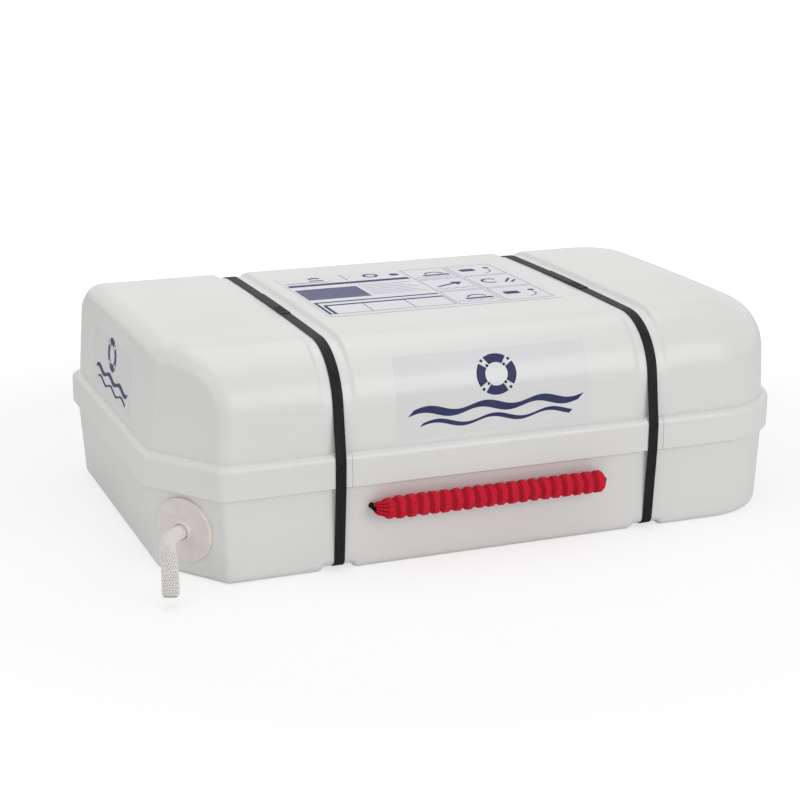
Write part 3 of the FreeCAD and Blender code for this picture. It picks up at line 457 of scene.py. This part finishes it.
def braidTree(carrier, material):
    made = Tree("braidRoundRoute", {
        "Radius": painter["radius"], "Yarn": painter["yarn"], "Carriers": painter["carriers"],
        "Turns": painter["turns"], "Samples": painter["samples"],
        "Tight": painter["tight"], "Loose": painter["loose"],
    })
    yarn = made.size("Yarn")
    carriers = made.size("Carriers")
    route = made.add("GeometryNodeMeshToCurve", {"Mesh": made.start.outputs[0]}).outputs[0]
    line = made.add("GeometryNodeCurvePrimitiveLine").outputs[0]
    line = made.add("GeometryNodeResampleCurve", {
        "Curve": line, "Count": made.size("Samples")}).outputs[0]
    # four yarns to a carrier number: a pair each way round
    copies = made.add("GeometryNodeDuplicateElements", {
        "Geometry": line, "Amount": made.product(carriers, 4.0)}, domain="SPLINE")
    number = copies.outputs["Duplicate Index"]
    share = made.add("GeometryNodeSplineParameter").outputs["Factor"]
    way = made.less(1.0, made.product(made.maths("MODULO", number, 2.0), 2.0))
    second = made.maths("MODULO", made.maths("FLOOR", made.over(number, 2.0)), 2.0)
    carrierNumber = made.maths("FLOOR", made.over(number, 4.0))
    step = made.over(math.tau, carriers)
    sweep = made.product(share, made.size("Turns"), math.tau)
    angle = made.total(
        made.product(sweep, way),
        made.product(step, carrierNumber),
        made.product(step, made.product(second, 0.5)))
    # over one and under one: both ways round meet where this wave turns
    wave = made.maths("COSINE", made.product(sweep, carriers))
    rise = made.product(made.product(yarn, painter["weave"]), made.product(wave, way))
    fuller = made.product(made.maths("POWER", share, painter["loosening"]), made.size("Loose"))
    pastSeal = made.maths("MAXIMUM", made.less(share, painter["sealFrom"]), 0.0)
    sealed = made.product(made.maths("POWER", pastSeal, 2.0), painter["sealPinch"])
    girth = made.less(made.total(made.size("Tight"), fuller), sealed)
    inner = made.less(made.size("Radius"), made.product(yarn, painter["sunk"]))
    seat = made.product(inner, girth)
    reach = made.total(seat, rise)
    sample = made.add("GeometryNodeSampleCurve", {"Curves": route, "Factor": share}, mode="FACTOR")
    side = made.vector("CROSS_PRODUCT", sample.outputs["Tangent"], sample.outputs["Normal"])
    out = made.vector("SCALE", sample.outputs["Normal"], scale=made.maths("COSINE", angle))
    out = made.vector("ADD", out, made.vector("SCALE", side, scale=made.maths("SINE", angle)))
    place = made.vector("ADD", sample.outputs["Position"], made.vector("SCALE", out, scale=reach))
    marked = made.stored(copies.outputs[0], "seat", seat)
    strands = made.add("GeometryNodeSetPosition", {"Geometry": marked, "Position": place}).outputs[0]
    joined = made.add("GeometryNodeJoinGeometry")
    for curve, sides, radius in (
            (strands, painter["yarnSides"], yarn),
            (route, painter["coreSides"], made.product(inner, painter["core"]))):
        ring = made.add("GeometryNodeCurvePrimitiveCircle", {"Resolution": sides, "Radius": radius})
        tube = made.add("GeometryNodeCurveToMesh", {
            "Curve": curve, "Profile Curve": ring.outputs[0], "Fill Caps": True})
        made.tree.links.new(tube.outputs[0], joined.inputs[0])
    # how far a spot stands above the middle of its yarn's bed
    away = made.add("GeometryNodeProximity", {
        "Target": made.start.outputs[0]}, target_element="EDGES").outputs["Distance"]
    bed = made.add("GeometryNodeInputNamedAttribute", {"Name": "seat"}, data_type="FLOAT").outputs[0]
    onYarn = made.maths("GREATER_THAN", bed, 0.0)
    crown = made.over(made.less(away, bed), yarn)
    crowned = made.stored(joined.outputs[0], "crown", made.product(crown, onYarn))
    return made.finishOn(carrier, crowned, material)


rope = makeRope()
routeMesh = smoothRoute("painterRoute", painter["route"])
path = [vertex.co.copy() for vertex in routeMesh.vertices]
ropeLength = sum((b - a).length for a, b in zip(path, path[1:]))
painterLine = meshPiece("painterBraid", braidTree(newObject("painterCarrier", routeMesh), rope), rope)
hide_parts("painter_line")
print("painter:", round(ropeLength * 1000, 1), "mm,", len(painterLine.data.polygons), "faces")


# carrying handles: a cloth sleeve gathered on its cord

handle = {
    "gathers": 18,
    "crest": 12.7 * mm,
    "valley": 10.2 * mm,
    "past": (6.0 * mm, 2.5 * mm),    # covers the start of the cord's bends
    "tuck": 42.0,             # how fast the ends lean to the wall, per metre
    "bore": 3.4 * mm,
    "bunch": 21.0 * mm,       # pointed end, pleated lengthwise
    "butt": 15.0 * mm,        # blunt end
    "puff": (0.38, 0.86),     # share of a gather's swell from valley to crest
    "lastPuff": 0.9,
    "drift": 0.55,            # unevenness of the gathers' places, in gathers
    "uneven": 1.9 * mm,
    "pinch": 1.2 * mm,        # small folds between two puffs
    "folds": 5.0,             # of these to a gather
    "pleats": 12,
    "pleatDepth": 2.6 * mm,
    "pleatDrift": 9.0,
    "drawnIn": 0.46,          # power of the pointed end's outline
    "turnedIn": 0.36,         # power of the blunt end's outline
    "turnedShare": 0.4,       # of the blunt end that turns in
    "fullness": 1.35,         # cloth along the sleeve over the sleeve's own length
    "alongPoints": 420,
    "roundPoints": 104,
}


def sleeveTree(carrier, length, seed, toWall, material):
    made = Tree("gatheredSleeve", {
        "Length": length, "Gathers": handle["gathers"], "Crest": handle["crest"],
        "Valley": handle["valley"], "Bore": handle["bore"], "Bunch": handle["bunch"],
        "Butt": handle["butt"], "Pleats": handle["pleats"], "Along": handle["alongPoints"],
        "Round": handle["roundPoints"], "Seed": float(seed), "Tuck": handle["tuck"] * toWall,
    })
    size = made.size
    grid = made.add("GeometryNodeMeshGrid", {
        "Size X": 1.0, "Size Y": 1.0,
        "Vertices X": made.total(size("Along"), 1.0), "Vertices Y": size("Round"),
    }).outputs[0]
    flat = made.add("ShaderNodeSeparateXYZ", {
        "Vector": made.add("GeometryNodeInputPosition").outputs[0]})
    # the last column turns back inside, along the cord, and closes on the first
    run = made.over(size("Along"), made.less(size("Along"), 1.0))
    share = made.product(made.total(flat.outputs[0], 0.5), run)
    inside = made.maths("GREATER_THAN", share, 1.0 + 1e-4)
    outside = made.less(1.0, inside)
    turn = made.product(made.total(flat.outputs[1], 0.5), math.tau)
    along = made.product(share, size("Length"), outside)
    left = made.less(size("Length"), along)
    ring = made.joinedXYZ(
        X=made.product(along, 60.0), Y=made.maths("COSINE", turn), Z=made.maths("SINE", turn))

    def noise(scale, detail):
        return made.add("ShaderNodeTexNoise", {
            "Vector": ring, "W": size("Seed"), "Scale": scale, "Detail": detail,
        }, noise_dimensions="4D").outputs[0]

    # gathers: puffs of uneven width between the two ends
    drift = noise(0.9, 2.0)
    gathered = made.less(made.less(size("Length"), size("Bunch")), size("Butt"))
    pitch = made.over(gathered, size("Gathers"))
    phase = made.total(
        made.over(made.less(along, size("Bunch")), pitch),
        made.product(made.less(drift, 0.5), handle["drift"]))
    swell = made.maths("ABSOLUTE", made.maths("SINE", made.product(phase, math.pi)))
    puff = made.between(swell, *handle["puff"], interpolation_type="SMOOTHSTEP")
    wide = made.between(
        phase, made.total(size("Gathers"), 0.25), made.total(size("Gathers"), 0.5))
    puff = made.maths("MAXIMUM", puff, made.product(wide, handle["lastPuff"]))
    # the pinched cloth between two puffs stands up in a pair of small folds
    pinch = made.maths("POWER", made.less(1.0, swell), 2.0)
    small = made.maths("ABSOLUTE", made.maths("SINE", made.product(phase, handle["folds"] * math.pi)))
    depth = made.less(size("Crest"), size("Valley"))
    reach = made.total(
        made.total(size("Valley"), made.product(depth, puff)),
        made.product(made.product(pinch, small), handle["pinch"]),
        made.product(made.less(noise(2.6, 3.0), 0.55), handle["uneven"]))
    # pointed bunch: drawn in and pleated
    start = made.between(along, 0.0, size("Bunch"), interpolation_type="SMOOTHSTEP")
    atBunch = made.less(1.0, start)
    ridge = made.maths("SINE", made.total(
        made.product(turn, size("Pleats")), made.product(drift, handle["pleatDrift"])))
    pleat = made.product(
        made.product(ridge, atBunch),
        made.product(made.maths("SQRT", start), handle["pleatDepth"]))
    fromTip = made.maths("MINIMUM", made.over(along, size("Bunch")), 1.0)
    drawn = made.maths("POWER", fromTip, handle["drawnIn"])
    # blunt end: turned in over its last few millimetres
    near = made.over(left, made.product(size("Butt"), handle["turnedShare"]))
    blunt = made.maths("POWER", made.maths("MINIMUM", near, 1.0), handle["turnedIn"])
    body = made.product(
        made.less(made.total(reach, pleat), size("Bore")), made.product(drawn, blunt))
    reach = made.total(size("Bore"), made.product(body, outside))
    # both ends follow the cord as it turns to the wall
    first = made.maths("MAXIMUM", made.less(2 * handle["past"][0], along), 0.0)
    last = made.maths("MAXIMUM", made.less(2 * handle["past"][1], left), 0.0)
    lean = made.total(made.product(first, first), made.product(last, last))
    lean = made.product(lean, made.product(size("Tuck"), outside))
    place = made.joinedXYZ(
        X=along,
        Y=made.total(made.product(made.maths("COSINE", turn), reach), lean),
        Z=made.product(made.maths("SINE", turn), reach))
    cloth = made.joinedXYZ(
        X=made.product(along, handle["fullness"]), Y=made.product(turn, size("Crest")))
    marked = made.stored(grid, "clothMap", cloth, "FLOAT_VECTOR")
    # painted shade: how far the cloth lies pinched between puffs or between the bunch's pleats, to darken
    # it there
    lines = made.less(1.0, made.product(small, 0.6))
    marked = made.stored(marked, "foldShade", made.total(
        made.product(made.less(1.0, puff), lines, start),
        made.product(made.less(0.3, ridge), atBunch)))
    placed = made.add("GeometryNodeSetPosition", {"Geometry": marked, "Position": place}).outputs[0]
    closed = made.add("GeometryNodeMergeByDistance", {
        "Geometry": placed, "Distance": 0.01 * mm}).outputs[0]
    return made.finishOn(carrier, closed, material)


def outwardMesh(mesh):
    shape = bmesh.new()
    shape.from_mesh(mesh)
    bmesh.ops.recalc_face_normals(shape, faces=shape.faces)
    shape.to_mesh(mesh)
    shape.free()
    return mesh


red = makeHandleRed()
for number, side in enumerate(("front", "back")):
    low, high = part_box("handle_sleeve_" + side)
    carrier = newObject("sleeveCarrier", bpy.data.meshes.new("sleeveCarrier"))
    length = high[0] - low[0] + sum(handle["past"])
    mesh = sleeveTree(carrier, length, 3.0 + 5.0 * number, 1 - 2 * number, red)
    mesh.transform(Matrix.Translation(
        (low[0] - handle["past"][0], (low[1] + high[1]) / 2, (low[2] + high[2]) / 2)))
    sleeve = meshPiece("gatheredSleeve_" + side, outwardMesh(mesh), red)
    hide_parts("handle_sleeve_" + side)
    print("sleeve:", side, len(mesh.polygons), "faces")


# printed films and labels: flat shapes laid on the moulding

def bar(x0, y0, x1, y1):
    return [(x0, y0), (x1, y0), (x1, y1), (x0, y1)]


def stroke(start, end, width):
    dx, dy = end[0] - start[0], end[1] - start[1]
    half = width / 2 / math.hypot(dx, dy)
    ox, oy = -dy * half, dx * half
    return [
        (start[0] - ox, start[1] - oy), (end[0] - ox, end[1] - oy),
        (end[0] + ox, end[1] + oy), (start[0] + ox, start[1] + oy)]


def arcBand(middle, inner, outer, start=0.0, end=360.0, steps=40):
    turns = [math.radians(start + (end - start) * k / steps) for k in range(steps + 1)]
    outside = [(middle[0] + outer * math.cos(a), middle[1] + outer * math.sin(a)) for a in turns]
    inside = [(middle[0] + inner * math.cos(a), middle[1] + inner * math.sin(a)) for a in reversed(turns)]
    return outside + inside


def disc(middle, radius, steps=28):
    return [(middle[0] + radius * math.cos(math.tau * k / steps),
             middle[1] + radius * math.sin(math.tau * k / steps)) for k in range(steps)]


def frameBars(x0, y0, x1, y1, width):
    return [
        bar(x0, y0, x1, y0 + width), bar(x0, y1 - width, x1, y1),
        bar(x0, y0 + width, x0 + width, y1 - width), bar(x1 - width, y0 + width, x1, y1 - width)]


def swellLine(x0, x1, y, height, wavelength, width, lean=0.0):
    steps = 64
    upper = []
    for k in range(steps + 1):
        x = x0 + (x1 - x0) * k / steps
        upper.append((x, y + height * math.sin(math.tau * (x - x0) / wavelength)))
    top = [(x + lean * width, y + width / 2) for x, y in upper]
    bottom = [(x - lean * width, y - width / 2) for x, y in reversed(upper)]
    return top + bottom


def roundedBar(x0, y0, x1, y1, radius, steps=6):
    outline = []
    for cx, cy, start in ((x1 - radius, y1 - radius, 0), (x0 + radius, y1 - radius, 90),
                          (x0 + radius, y0 + radius, 180), (x1 - radius, y0 + radius, 270)):
        for k in range(steps + 1):
            a = math.radians(start + 90 * k / steps)
            outline.append((cx + radius * math.cos(a), cy + radius * math.sin(a)))
    return outline


# shapes are in mm on a flat sheet
# place turns a point of the sheet into one on the moulding and its normal
def layOn(name, shapes, place, material, thickness, lift=0.0, step=8.0):
    shape = bmesh.new()
    for outline in shapes:
        face = shape.faces.new([shape.verts.new((x, y, 0.0)) for x, y in outline])
        face.normal_update()
        if face.normal.z < 0:
            face.normal_flip()
    raised = bmesh.ops.extrude_face_region(shape, geom=list(shape.faces), use_keep_orig=True)
    for vertex in [item for item in raised["geom"] if isinstance(item, bmesh.types.BMVert)]:
        vertex.co.z = 1.0
    bmesh.ops.recalc_face_normals(shape, faces=shape.faces)
    bmesh.ops.triangulate(shape, faces=shape.faces)
    for axis in (0, 1):
        values = [vertex.co[axis] for vertex in shape.verts]
        normal = (1, 0, 0) if axis == 0 else (0, 1, 0)
        for k in range(math.ceil(min(values) / step), math.floor(max(values) / step) + 1):
            spot = tuple(k * step * n for n in normal)
            whole = shape.verts[:] + shape.edges[:] + shape.faces[:]
            bmesh.ops.bisect_plane(shape, geom=whole, plane_co=spot, plane_no=normal, dist=1e-6)
    bmesh.ops.triangulate(shape, faces=shape.faces)
    known = {}
    for vertex in shape.verts:
        key = (round(vertex.co.x, 4), round(vertex.co.y, 4))
        if key not in known:
            known[key] = place(*key)
        point, normal = known[key]
        vertex.co = point + normal * (lift + thickness * vertex.co.z)
    bmesh.ops.recalc_face_normals(shape, faces=shape.faces)
    mesh = bpy.data.meshes.new(name)
    shape.to_mesh(mesh)
    shape.free()
    piece = meshPiece(name, mesh, material)
    for face in mesh.polygons:
        face.use_smooth = False
    return piece


lidTree = treeOf("upper_shell")
lidLow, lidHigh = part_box("upper_shell")
labelLow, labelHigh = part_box("instruction_label")
labelTree = treeOf("instruction_label")


# the label's own sheet: x along the canister and y across it, from the label's middle
def onLabel(x, y):
    middle = (labelLow + labelHigh) / 2
    start = Vector((middle.x + x * mm, middle.y + y * mm, labelHigh.z + 0.05))
    hit = labelTree.ray_cast(start, Vector((0, 0, -1)))[0]
    return hit, Vector((0, 0, 1))


shoulder = 70.0 * mm    # rounding along the lid's long sides
skirtStep = 8.0 * mm    # the lid's wall behind the skirt


# the front film's sheet: x along the canister, y up the wall and on round the shoulder
def onFront(x, y):
    across = lidLow.y + skirtStep + shoulder
    height = lidHigh.z - shoulder
    rise = y * mm
    if rise < height:
        start, way = Vector((x * mm, lidLow.y - 0.05, rise)), Vector((0, 1, 0))
    else:
        lean = (rise - height) / shoulder
        way = Vector((0, math.cos(lean), -math.sin(lean)))
        start = Vector((x * mm, across, height)) - way * 0.2
    hit = lidTree.ray_cast(start, way)[0]
    lean = max(0.0, (rise - height) / shoulder)
    return hit, Vector((0, -math.cos(lean), math.sin(lean)))


# the end film's sheet: x toward the front along the end wall, y up
def onEnd(x, y):
    start = Vector((lidLow.x - 0.05, -x * mm, y * mm))
    hit = lidTree.ray_cast(start, Vector((1, 0, 0)))[0]
    return hit, Vector((-1, 0, 0))


navy = makePlain(
    "navyPrint", (0.030, 0.034, 0.105), (0.040, 0.044, 0.125), 0.4, 300.0, 0.00002, specular=0.2)
paleNavy = makePlain(
    "paleNavyPrint", (0.042, 0.046, 0.155), (0.056, 0.060, 0.18), 0.5, 300.0, 0.00002, specular=0.1)
film = makePlain("clearFilm", (0.775, 0.778, 0.785), (0.762, 0.766, 0.776), 0.14, 40.0, 0.00004)

# parts of the device as shares of its ring's radius, and angles in degrees
device = {
    "ringHeight": 2.45,
    "ringInner": 0.56,
    "ringGap": 11,
    "studs": (0.60, 0.96),
    "stud": 0.075,
    "swellRise": 0.14,
    "upperSwell": 0.98,
    "upperWidth": 0.30,
    "lowerSwell": 0.40,
    "lowerWidth": 0.17,
}


# a life-ring over two long swells: a plain marine device with no letters
def marineDevice(middle, foot, wide, ring):
    centre = (middle, foot + ring * device["ringHeight"])
    shapes = []
    for k in range(4):
        shapes.append(arcBand(
            centre, ring * device["ringInner"], ring,
            45 + 90 * k + device["ringGap"], 135 + 90 * k - device["ringGap"]))
    for k in range(4):
        turn = math.radians(45 + 90 * k)
        for reach in device["studs"]:
            x = middle + ring * reach * math.cos(turn)
            y = centre[1] + ring * reach * math.sin(turn)
            shapes.append(disc((x, y), ring * device["stud"]))
    for half, height, width in (
            (wide / 2, device["upperSwell"], device["upperWidth"]),
            (wide * 0.44, device["lowerSwell"], device["lowerWidth"])):
        shapes.append(swellLine(
            middle - half, middle + half, foot + ring * height,
            ring * device["swellRise"], wide / 3, ring * width, 0.5))
    return shapes


# thickness and lift in metres; a film's corners and radius, a device's numbers and the step in mm
prints = {
    "film": 0.12 * mm,
    "ink": 0.05 * mm,
    "filmLift": 0.02 * mm,
    "labelLift": 0.005 * mm,
    "labelStep": 16.0,
    "front": {
        "film": (-125, 141, 106, 236, 5), "device": (-6, 146, 206, 24),
        "lift": 0.07 * mm, "step": 4.0},
    "end": {
        "film": (-118, 146, 60, 214, 4), "device": (-28, 148, 150, 20),
        "lift": 0.05 * mm, "step": 12.0},
}
for side, place in (("front", onFront), ("end", onEnd)):
    sheet = prints[side]
    layOn(side + "Film", [roundedBar(*sheet["film"])], place, film,
          prints["film"], prints["filmLift"], sheet["step"])
    layOn(side + "Device", marineDevice(*sheet["device"]), place, navy,
          prints["ink"], sheet["lift"] + prints["film"], sheet["step"])


def labelShapes():
    dark = []
    pale = []
    left, split, right = -143.0, 13.0, 137.0
    # heading bar, and a dark field of notes
    dark.append(bar(left, 48.5, split - 1, 58.5))
    dark += [bar(left, -21 + 4.2 * k, -65, -17.7 + 4.2 * k) for k in range(13)]
    dark += [bar(left, -39, split, -34.5), bar(left + 7, -54, split, -49)]
    dark += [bar(left, -92, left + 3.5, -39), bar(left + 6, -92, left + 10, -54)]
    dark += [arcBand((-28, 82), 6, 10), disc((2, 78), 6)]
    dark += [arcBand((-100, 84), 4, 9, 20, 160), bar(-109, 75, -91, 79)]
    pale += [bar(-63.5, 66, -62.5, 98), bar(left, -92.5, split, -91.5), bar(split - 1, -92, split, -54)]
    pale += [bar(-90, -92, -89, -54), bar(-38, -92, -37, -54), bar(-58, 40, -57, 44)]
    pale += [bar(-142, 66 + 3.2 * k, -84 - 9 * (k % 2), 67 + 3.2 * k) for k in range(2)]
    pale += [bar(-60, -14 + 8 * k, 8 - 7 * (k % 3), -13.3 + 8 * k) for k in range(7)]
    # six framed cells with simple signs
    rows = [(-95, -33), (-29, 34), (38, 96)]
    columns = [(split + 3, 73), (77, right)]
    for low, high in rows:
        for near, far in columns:
            pale += frameBars(near, low, far, high, 0.7)
    for number, (low, high) in enumerate(rows):
        for order, (near, far) in enumerate(columns):
            cx, cy = (near + far) / 2, (low + high) / 2
            kind = (2 * number + order) % 4
            if kind == 0:     # raft on a swell
                dark.append(arcBand((cx + 6, cy - 6), 11, 14, 20, 160))
                dark.append(roundedBar(cx - 12, cy - 12, cx + 24, cy - 6, 3))
                pale.append(swellLine(near + 4, far - 4, cy - 19, 1.6, 14, 1.2))
            elif kind == 1:   # canister and its line
                dark.append(roundedBar(cx - 20, cy - 4, cx, cy + 9, 3))
                pale.append(arcBand((cx + 2, cy - 4), 15, 16.4, -80, 20))
                dark.append(disc((cx + 18, cy + 8), 4))
            elif kind == 2:   # arrow
                dark.append(stroke((cx - 18, cy - 8), (cx + 8, cy + 4), 4))
                dark.append([(cx + 4, cy + 12), (cx + 10, cy - 5), (cx + 20, cy + 9)])
                pale.append(swellLine(near + 4, far - 4, cy - 20, 1.6, 12, 1.2))
            else:             # open ring and two strokes
                dark.append(arcBand((cx - 8, cy + 2), 8, 11.5, 30, 300))
                dark.append(stroke((cx + 8, cy - 10), (cx + 20, cy + 8), 3.2))
                dark.append(stroke((cx + 14, cy - 13), (cx + 24, cy - 2), 3.2))
    return dark, pale


darkShapes, paleShapes = labelShapes()
for name, shapes in (("labelDarkPrint", darkShapes), ("labelLinePrint", paleShapes)):
    layOn(name, shapes, onLabel, paleNavy,
          prints["ink"], prints["labelLift"], prints["labelStep"])
print("films and prints laid")


# welded ends of the burst straps: a run of pressed ribs across the doubled part

weld = {
    "ribs": 22,
    "pitch": 1.1 * mm,
    "ribWidth": 0.55 * mm,
    "ribHeight": 0.16 * mm,
    "start": -43.0 * mm,      # first rib, across the canister
    "inset": 0.9 * mm,        # from each edge of the strap
}


def weldTree(carrier, width, material):
    made = Tree("weldRibs", {
        "Ribs": weld["ribs"], "Pitch": weld["pitch"], "Rib Width": weld["ribWidth"],
        "Rib Height": weld["ribHeight"], "Strap Width": width,
    })
    line = made.add("GeometryNodeMeshLine", {
        "Count": made.size("Ribs"), "Offset": made.joinedXYZ(Y=made.size("Pitch"))})
    rib = made.add("GeometryNodeMeshCube", {"Size": made.joinedXYZ(
        X=made.size("Strap Width"), Y=made.size("Rib Width"), Z=made.size("Rib Height"))})
    ribs = made.add("GeometryNodeInstanceOnPoints", {
        "Points": line.outputs[0], "Instance": rib.outputs[0]})
    return made.finishOn(carrier, ribs.outputs[0], material)


for side in ("left", "right"):
    low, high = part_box("burst_strap_" + side)
    strapTree = treeOf("burst_strap_" + side)
    carrier = newObject("weldCarrier", bpy.data.meshes.new("weldCarrier"))
    mesh = weldTree(carrier, high[0] - low[0] - 2 * weld["inset"], strapBlack)
    middle = (low[0] + high[0]) / 2
    for vertex in mesh.vertices:
        across = vertex.co.y + weld["start"]
        top = strapTree.ray_cast(Vector((middle, across, high[2] + 0.02)), Vector((0, 0, -1)))[0].z
        vertex.co = Vector((middle + vertex.co.x, across, top + vertex.co.z))
    ribs = meshPiece("strapWeld_" + side, mesh, strapBlack)
    for face in mesh.polygons:
        face.use_smooth = False


# stage, light and camera

stage = {
    "floor": 30.0,            # half the floor's side
    "floorWhite": (0.93, 0.93, 0.93),
    "floorGlow": 1.12,
    "shadowKept": 0.4,        # of the lit floor near the canister
    "open": (0.6, 1.2),       # where the lit floor starts and ends to fade
    "world": 0.47,
}
softboxes = {
    "topSoftbox": {"place": (-0.1, 0.1, 1.9), "aim": (0, 0, 0.2), "sides": (2.6, 1.6), "power": 11.5},
    "keySoftbox": {"place": (0.85, -2.15, 0.95), "aim": (0, 0, 0.12), "sides": (1.6, 1.2), "power": 13.0},
    "fillSoftbox": {"place": (-2.1, -0.8, 0.9), "aim": (0, 0, 0.12), "sides": (1.4, 1.2), "power": 4.0},
}


# 1 on rays from the camera and on those that metal or glass sends on
def seenRays(tree):
    rays = addNode(tree, "ShaderNodeLightPath").outputs
    seen = mathNode(tree, "MAXIMUM", rays["Is Camera Ray"], rays["Is Glossy Ray"])
    return mathNode(tree, "MAXIMUM", seen, rays["Is Transmission Ray"])


def makeFloor():
    material, tree, shader = newMaterial("paleFloor")
    shader.inputs["Base Color"].default_value = (*stage["floorWhite"], 1.0)
    shader.inputs["Roughness"].default_value = 0.9
    shader.inputs["Specular IOR Level"].default_value = 0.0
    rays = addNode(tree, "ShaderNodeLightPath").outputs
    glow = addNode(tree, "ShaderNodeEmission", {
        "Color": (1.0, 1.0, 1.0, 1.0), "Strength": stage["floorGlow"]})
    # the floor is lit like the object beside it and plain white farther out
    reach = addNode(tree, "ShaderNodeVectorMath", {
        0: objectPlace(tree)}, operation="LENGTH").outputs["Value"]
    away = remap(tree, reach, 1.0 - stage["shadowKept"], 1.0, *stage["open"])
    share = mathNode(tree, "MULTIPLY", rays["Is Camera Ray"], away)
    both = addNode(tree, "ShaderNodeMixShader", {0: share})
    tree.links.new(shader.outputs[0], both.inputs[1])
    tree.links.new(glow.outputs[0], both.inputs[2])
    tree.links.new(both.outputs[0], tree.nodes["Material Output"].inputs["Surface"])
    half = stage["floor"]
    mesh = bpy.data.meshes.new("floor")
    corners = [(-half, -half, 0), (half, -half, 0), (half, half, 0), (-half, half, 0)]
    mesh.from_pydata(corners, [], [(0, 1, 2, 3)])
    mesh.materials.append(material)
    floor = newObject("floor", mesh)


def makeSoftbox(name, place, aim, sides, power):
    light = bpy.data.lights.new(name, "AREA")
    light.shape = "RECTANGLE"
    light.size, light.size_y = sides
    light.energy = power
    lamp = newObject(name, light)
    lamp.location = place
    lamp.rotation_euler = (Vector(aim) - Vector(place)).to_track_quat("-Z", "Y").to_euler()


def makeWorld():
    world = bpy.data.worlds.new("studio")
    world.use_nodes = True
    tree = world.node_tree
    plain = tree.nodes["Background"]
    plain.inputs["Strength"].default_value = stage["world"]
    plain.inputs["Color"].default_value = (1.0, 1.0, 1.0, 1.0)
    seen = addNode(tree, "ShaderNodeBackground", {"Color": (1.0, 1.0, 1.0, 1.0), "Strength": 1.0})
    both = addNode(tree, "ShaderNodeMixShader", {0: seenRays(tree)})
    tree.links.new(plain.outputs[0], both.inputs[1])
    tree.links.new(seen.outputs[0], both.inputs[2])
    tree.links.new(both.outputs[0], tree.nodes["World Output"].inputs["Surface"])
    bpy.context.scene.world = world


makeFloor()
makeWorld()
for name, lamp in softboxes.items():
    makeSoftbox(name, **lamp)

view = {
    "place": (-0.8265, -1.967, 0.738),
    "heading": 22.02,         # degrees from the y axis toward x
    "down": 16.35,
    "roll": 0.45,
    "lens": 81.92,
    "sensor": 36.0,
    "nearest": 0.05,
}
lens = bpy.data.cameras.new("camera")
lens.lens = view["lens"]
lens.sensor_width = view["sensor"]
lens.clip_start = view["nearest"]
camera = newObject("camera", lens)
heading, down, roll = (math.radians(view[key]) for key in ("heading", "down", "roll"))
ahead = Vector((
    math.sin(heading) * math.cos(down), math.cos(heading) * math.cos(down), -math.sin(down)))
level = Vector((math.cos(heading), -math.sin(heading), 0))
upright = level.cross(ahead)
right = level * math.cos(roll) + upright * math.sin(roll)
upward = -level * math.sin(roll) + upright * math.cos(roll)
facing = Matrix((right, upward, -ahead)).transposed()
camera.matrix_world = Matrix.Translation(view["place"]) @ facing.to_4x4()
bpy.context.scene.camera = camera
bpy.context.scene.view_settings.view_transform = "Standard"
print("stage and camera set")

bpy.context.view_layer.update()
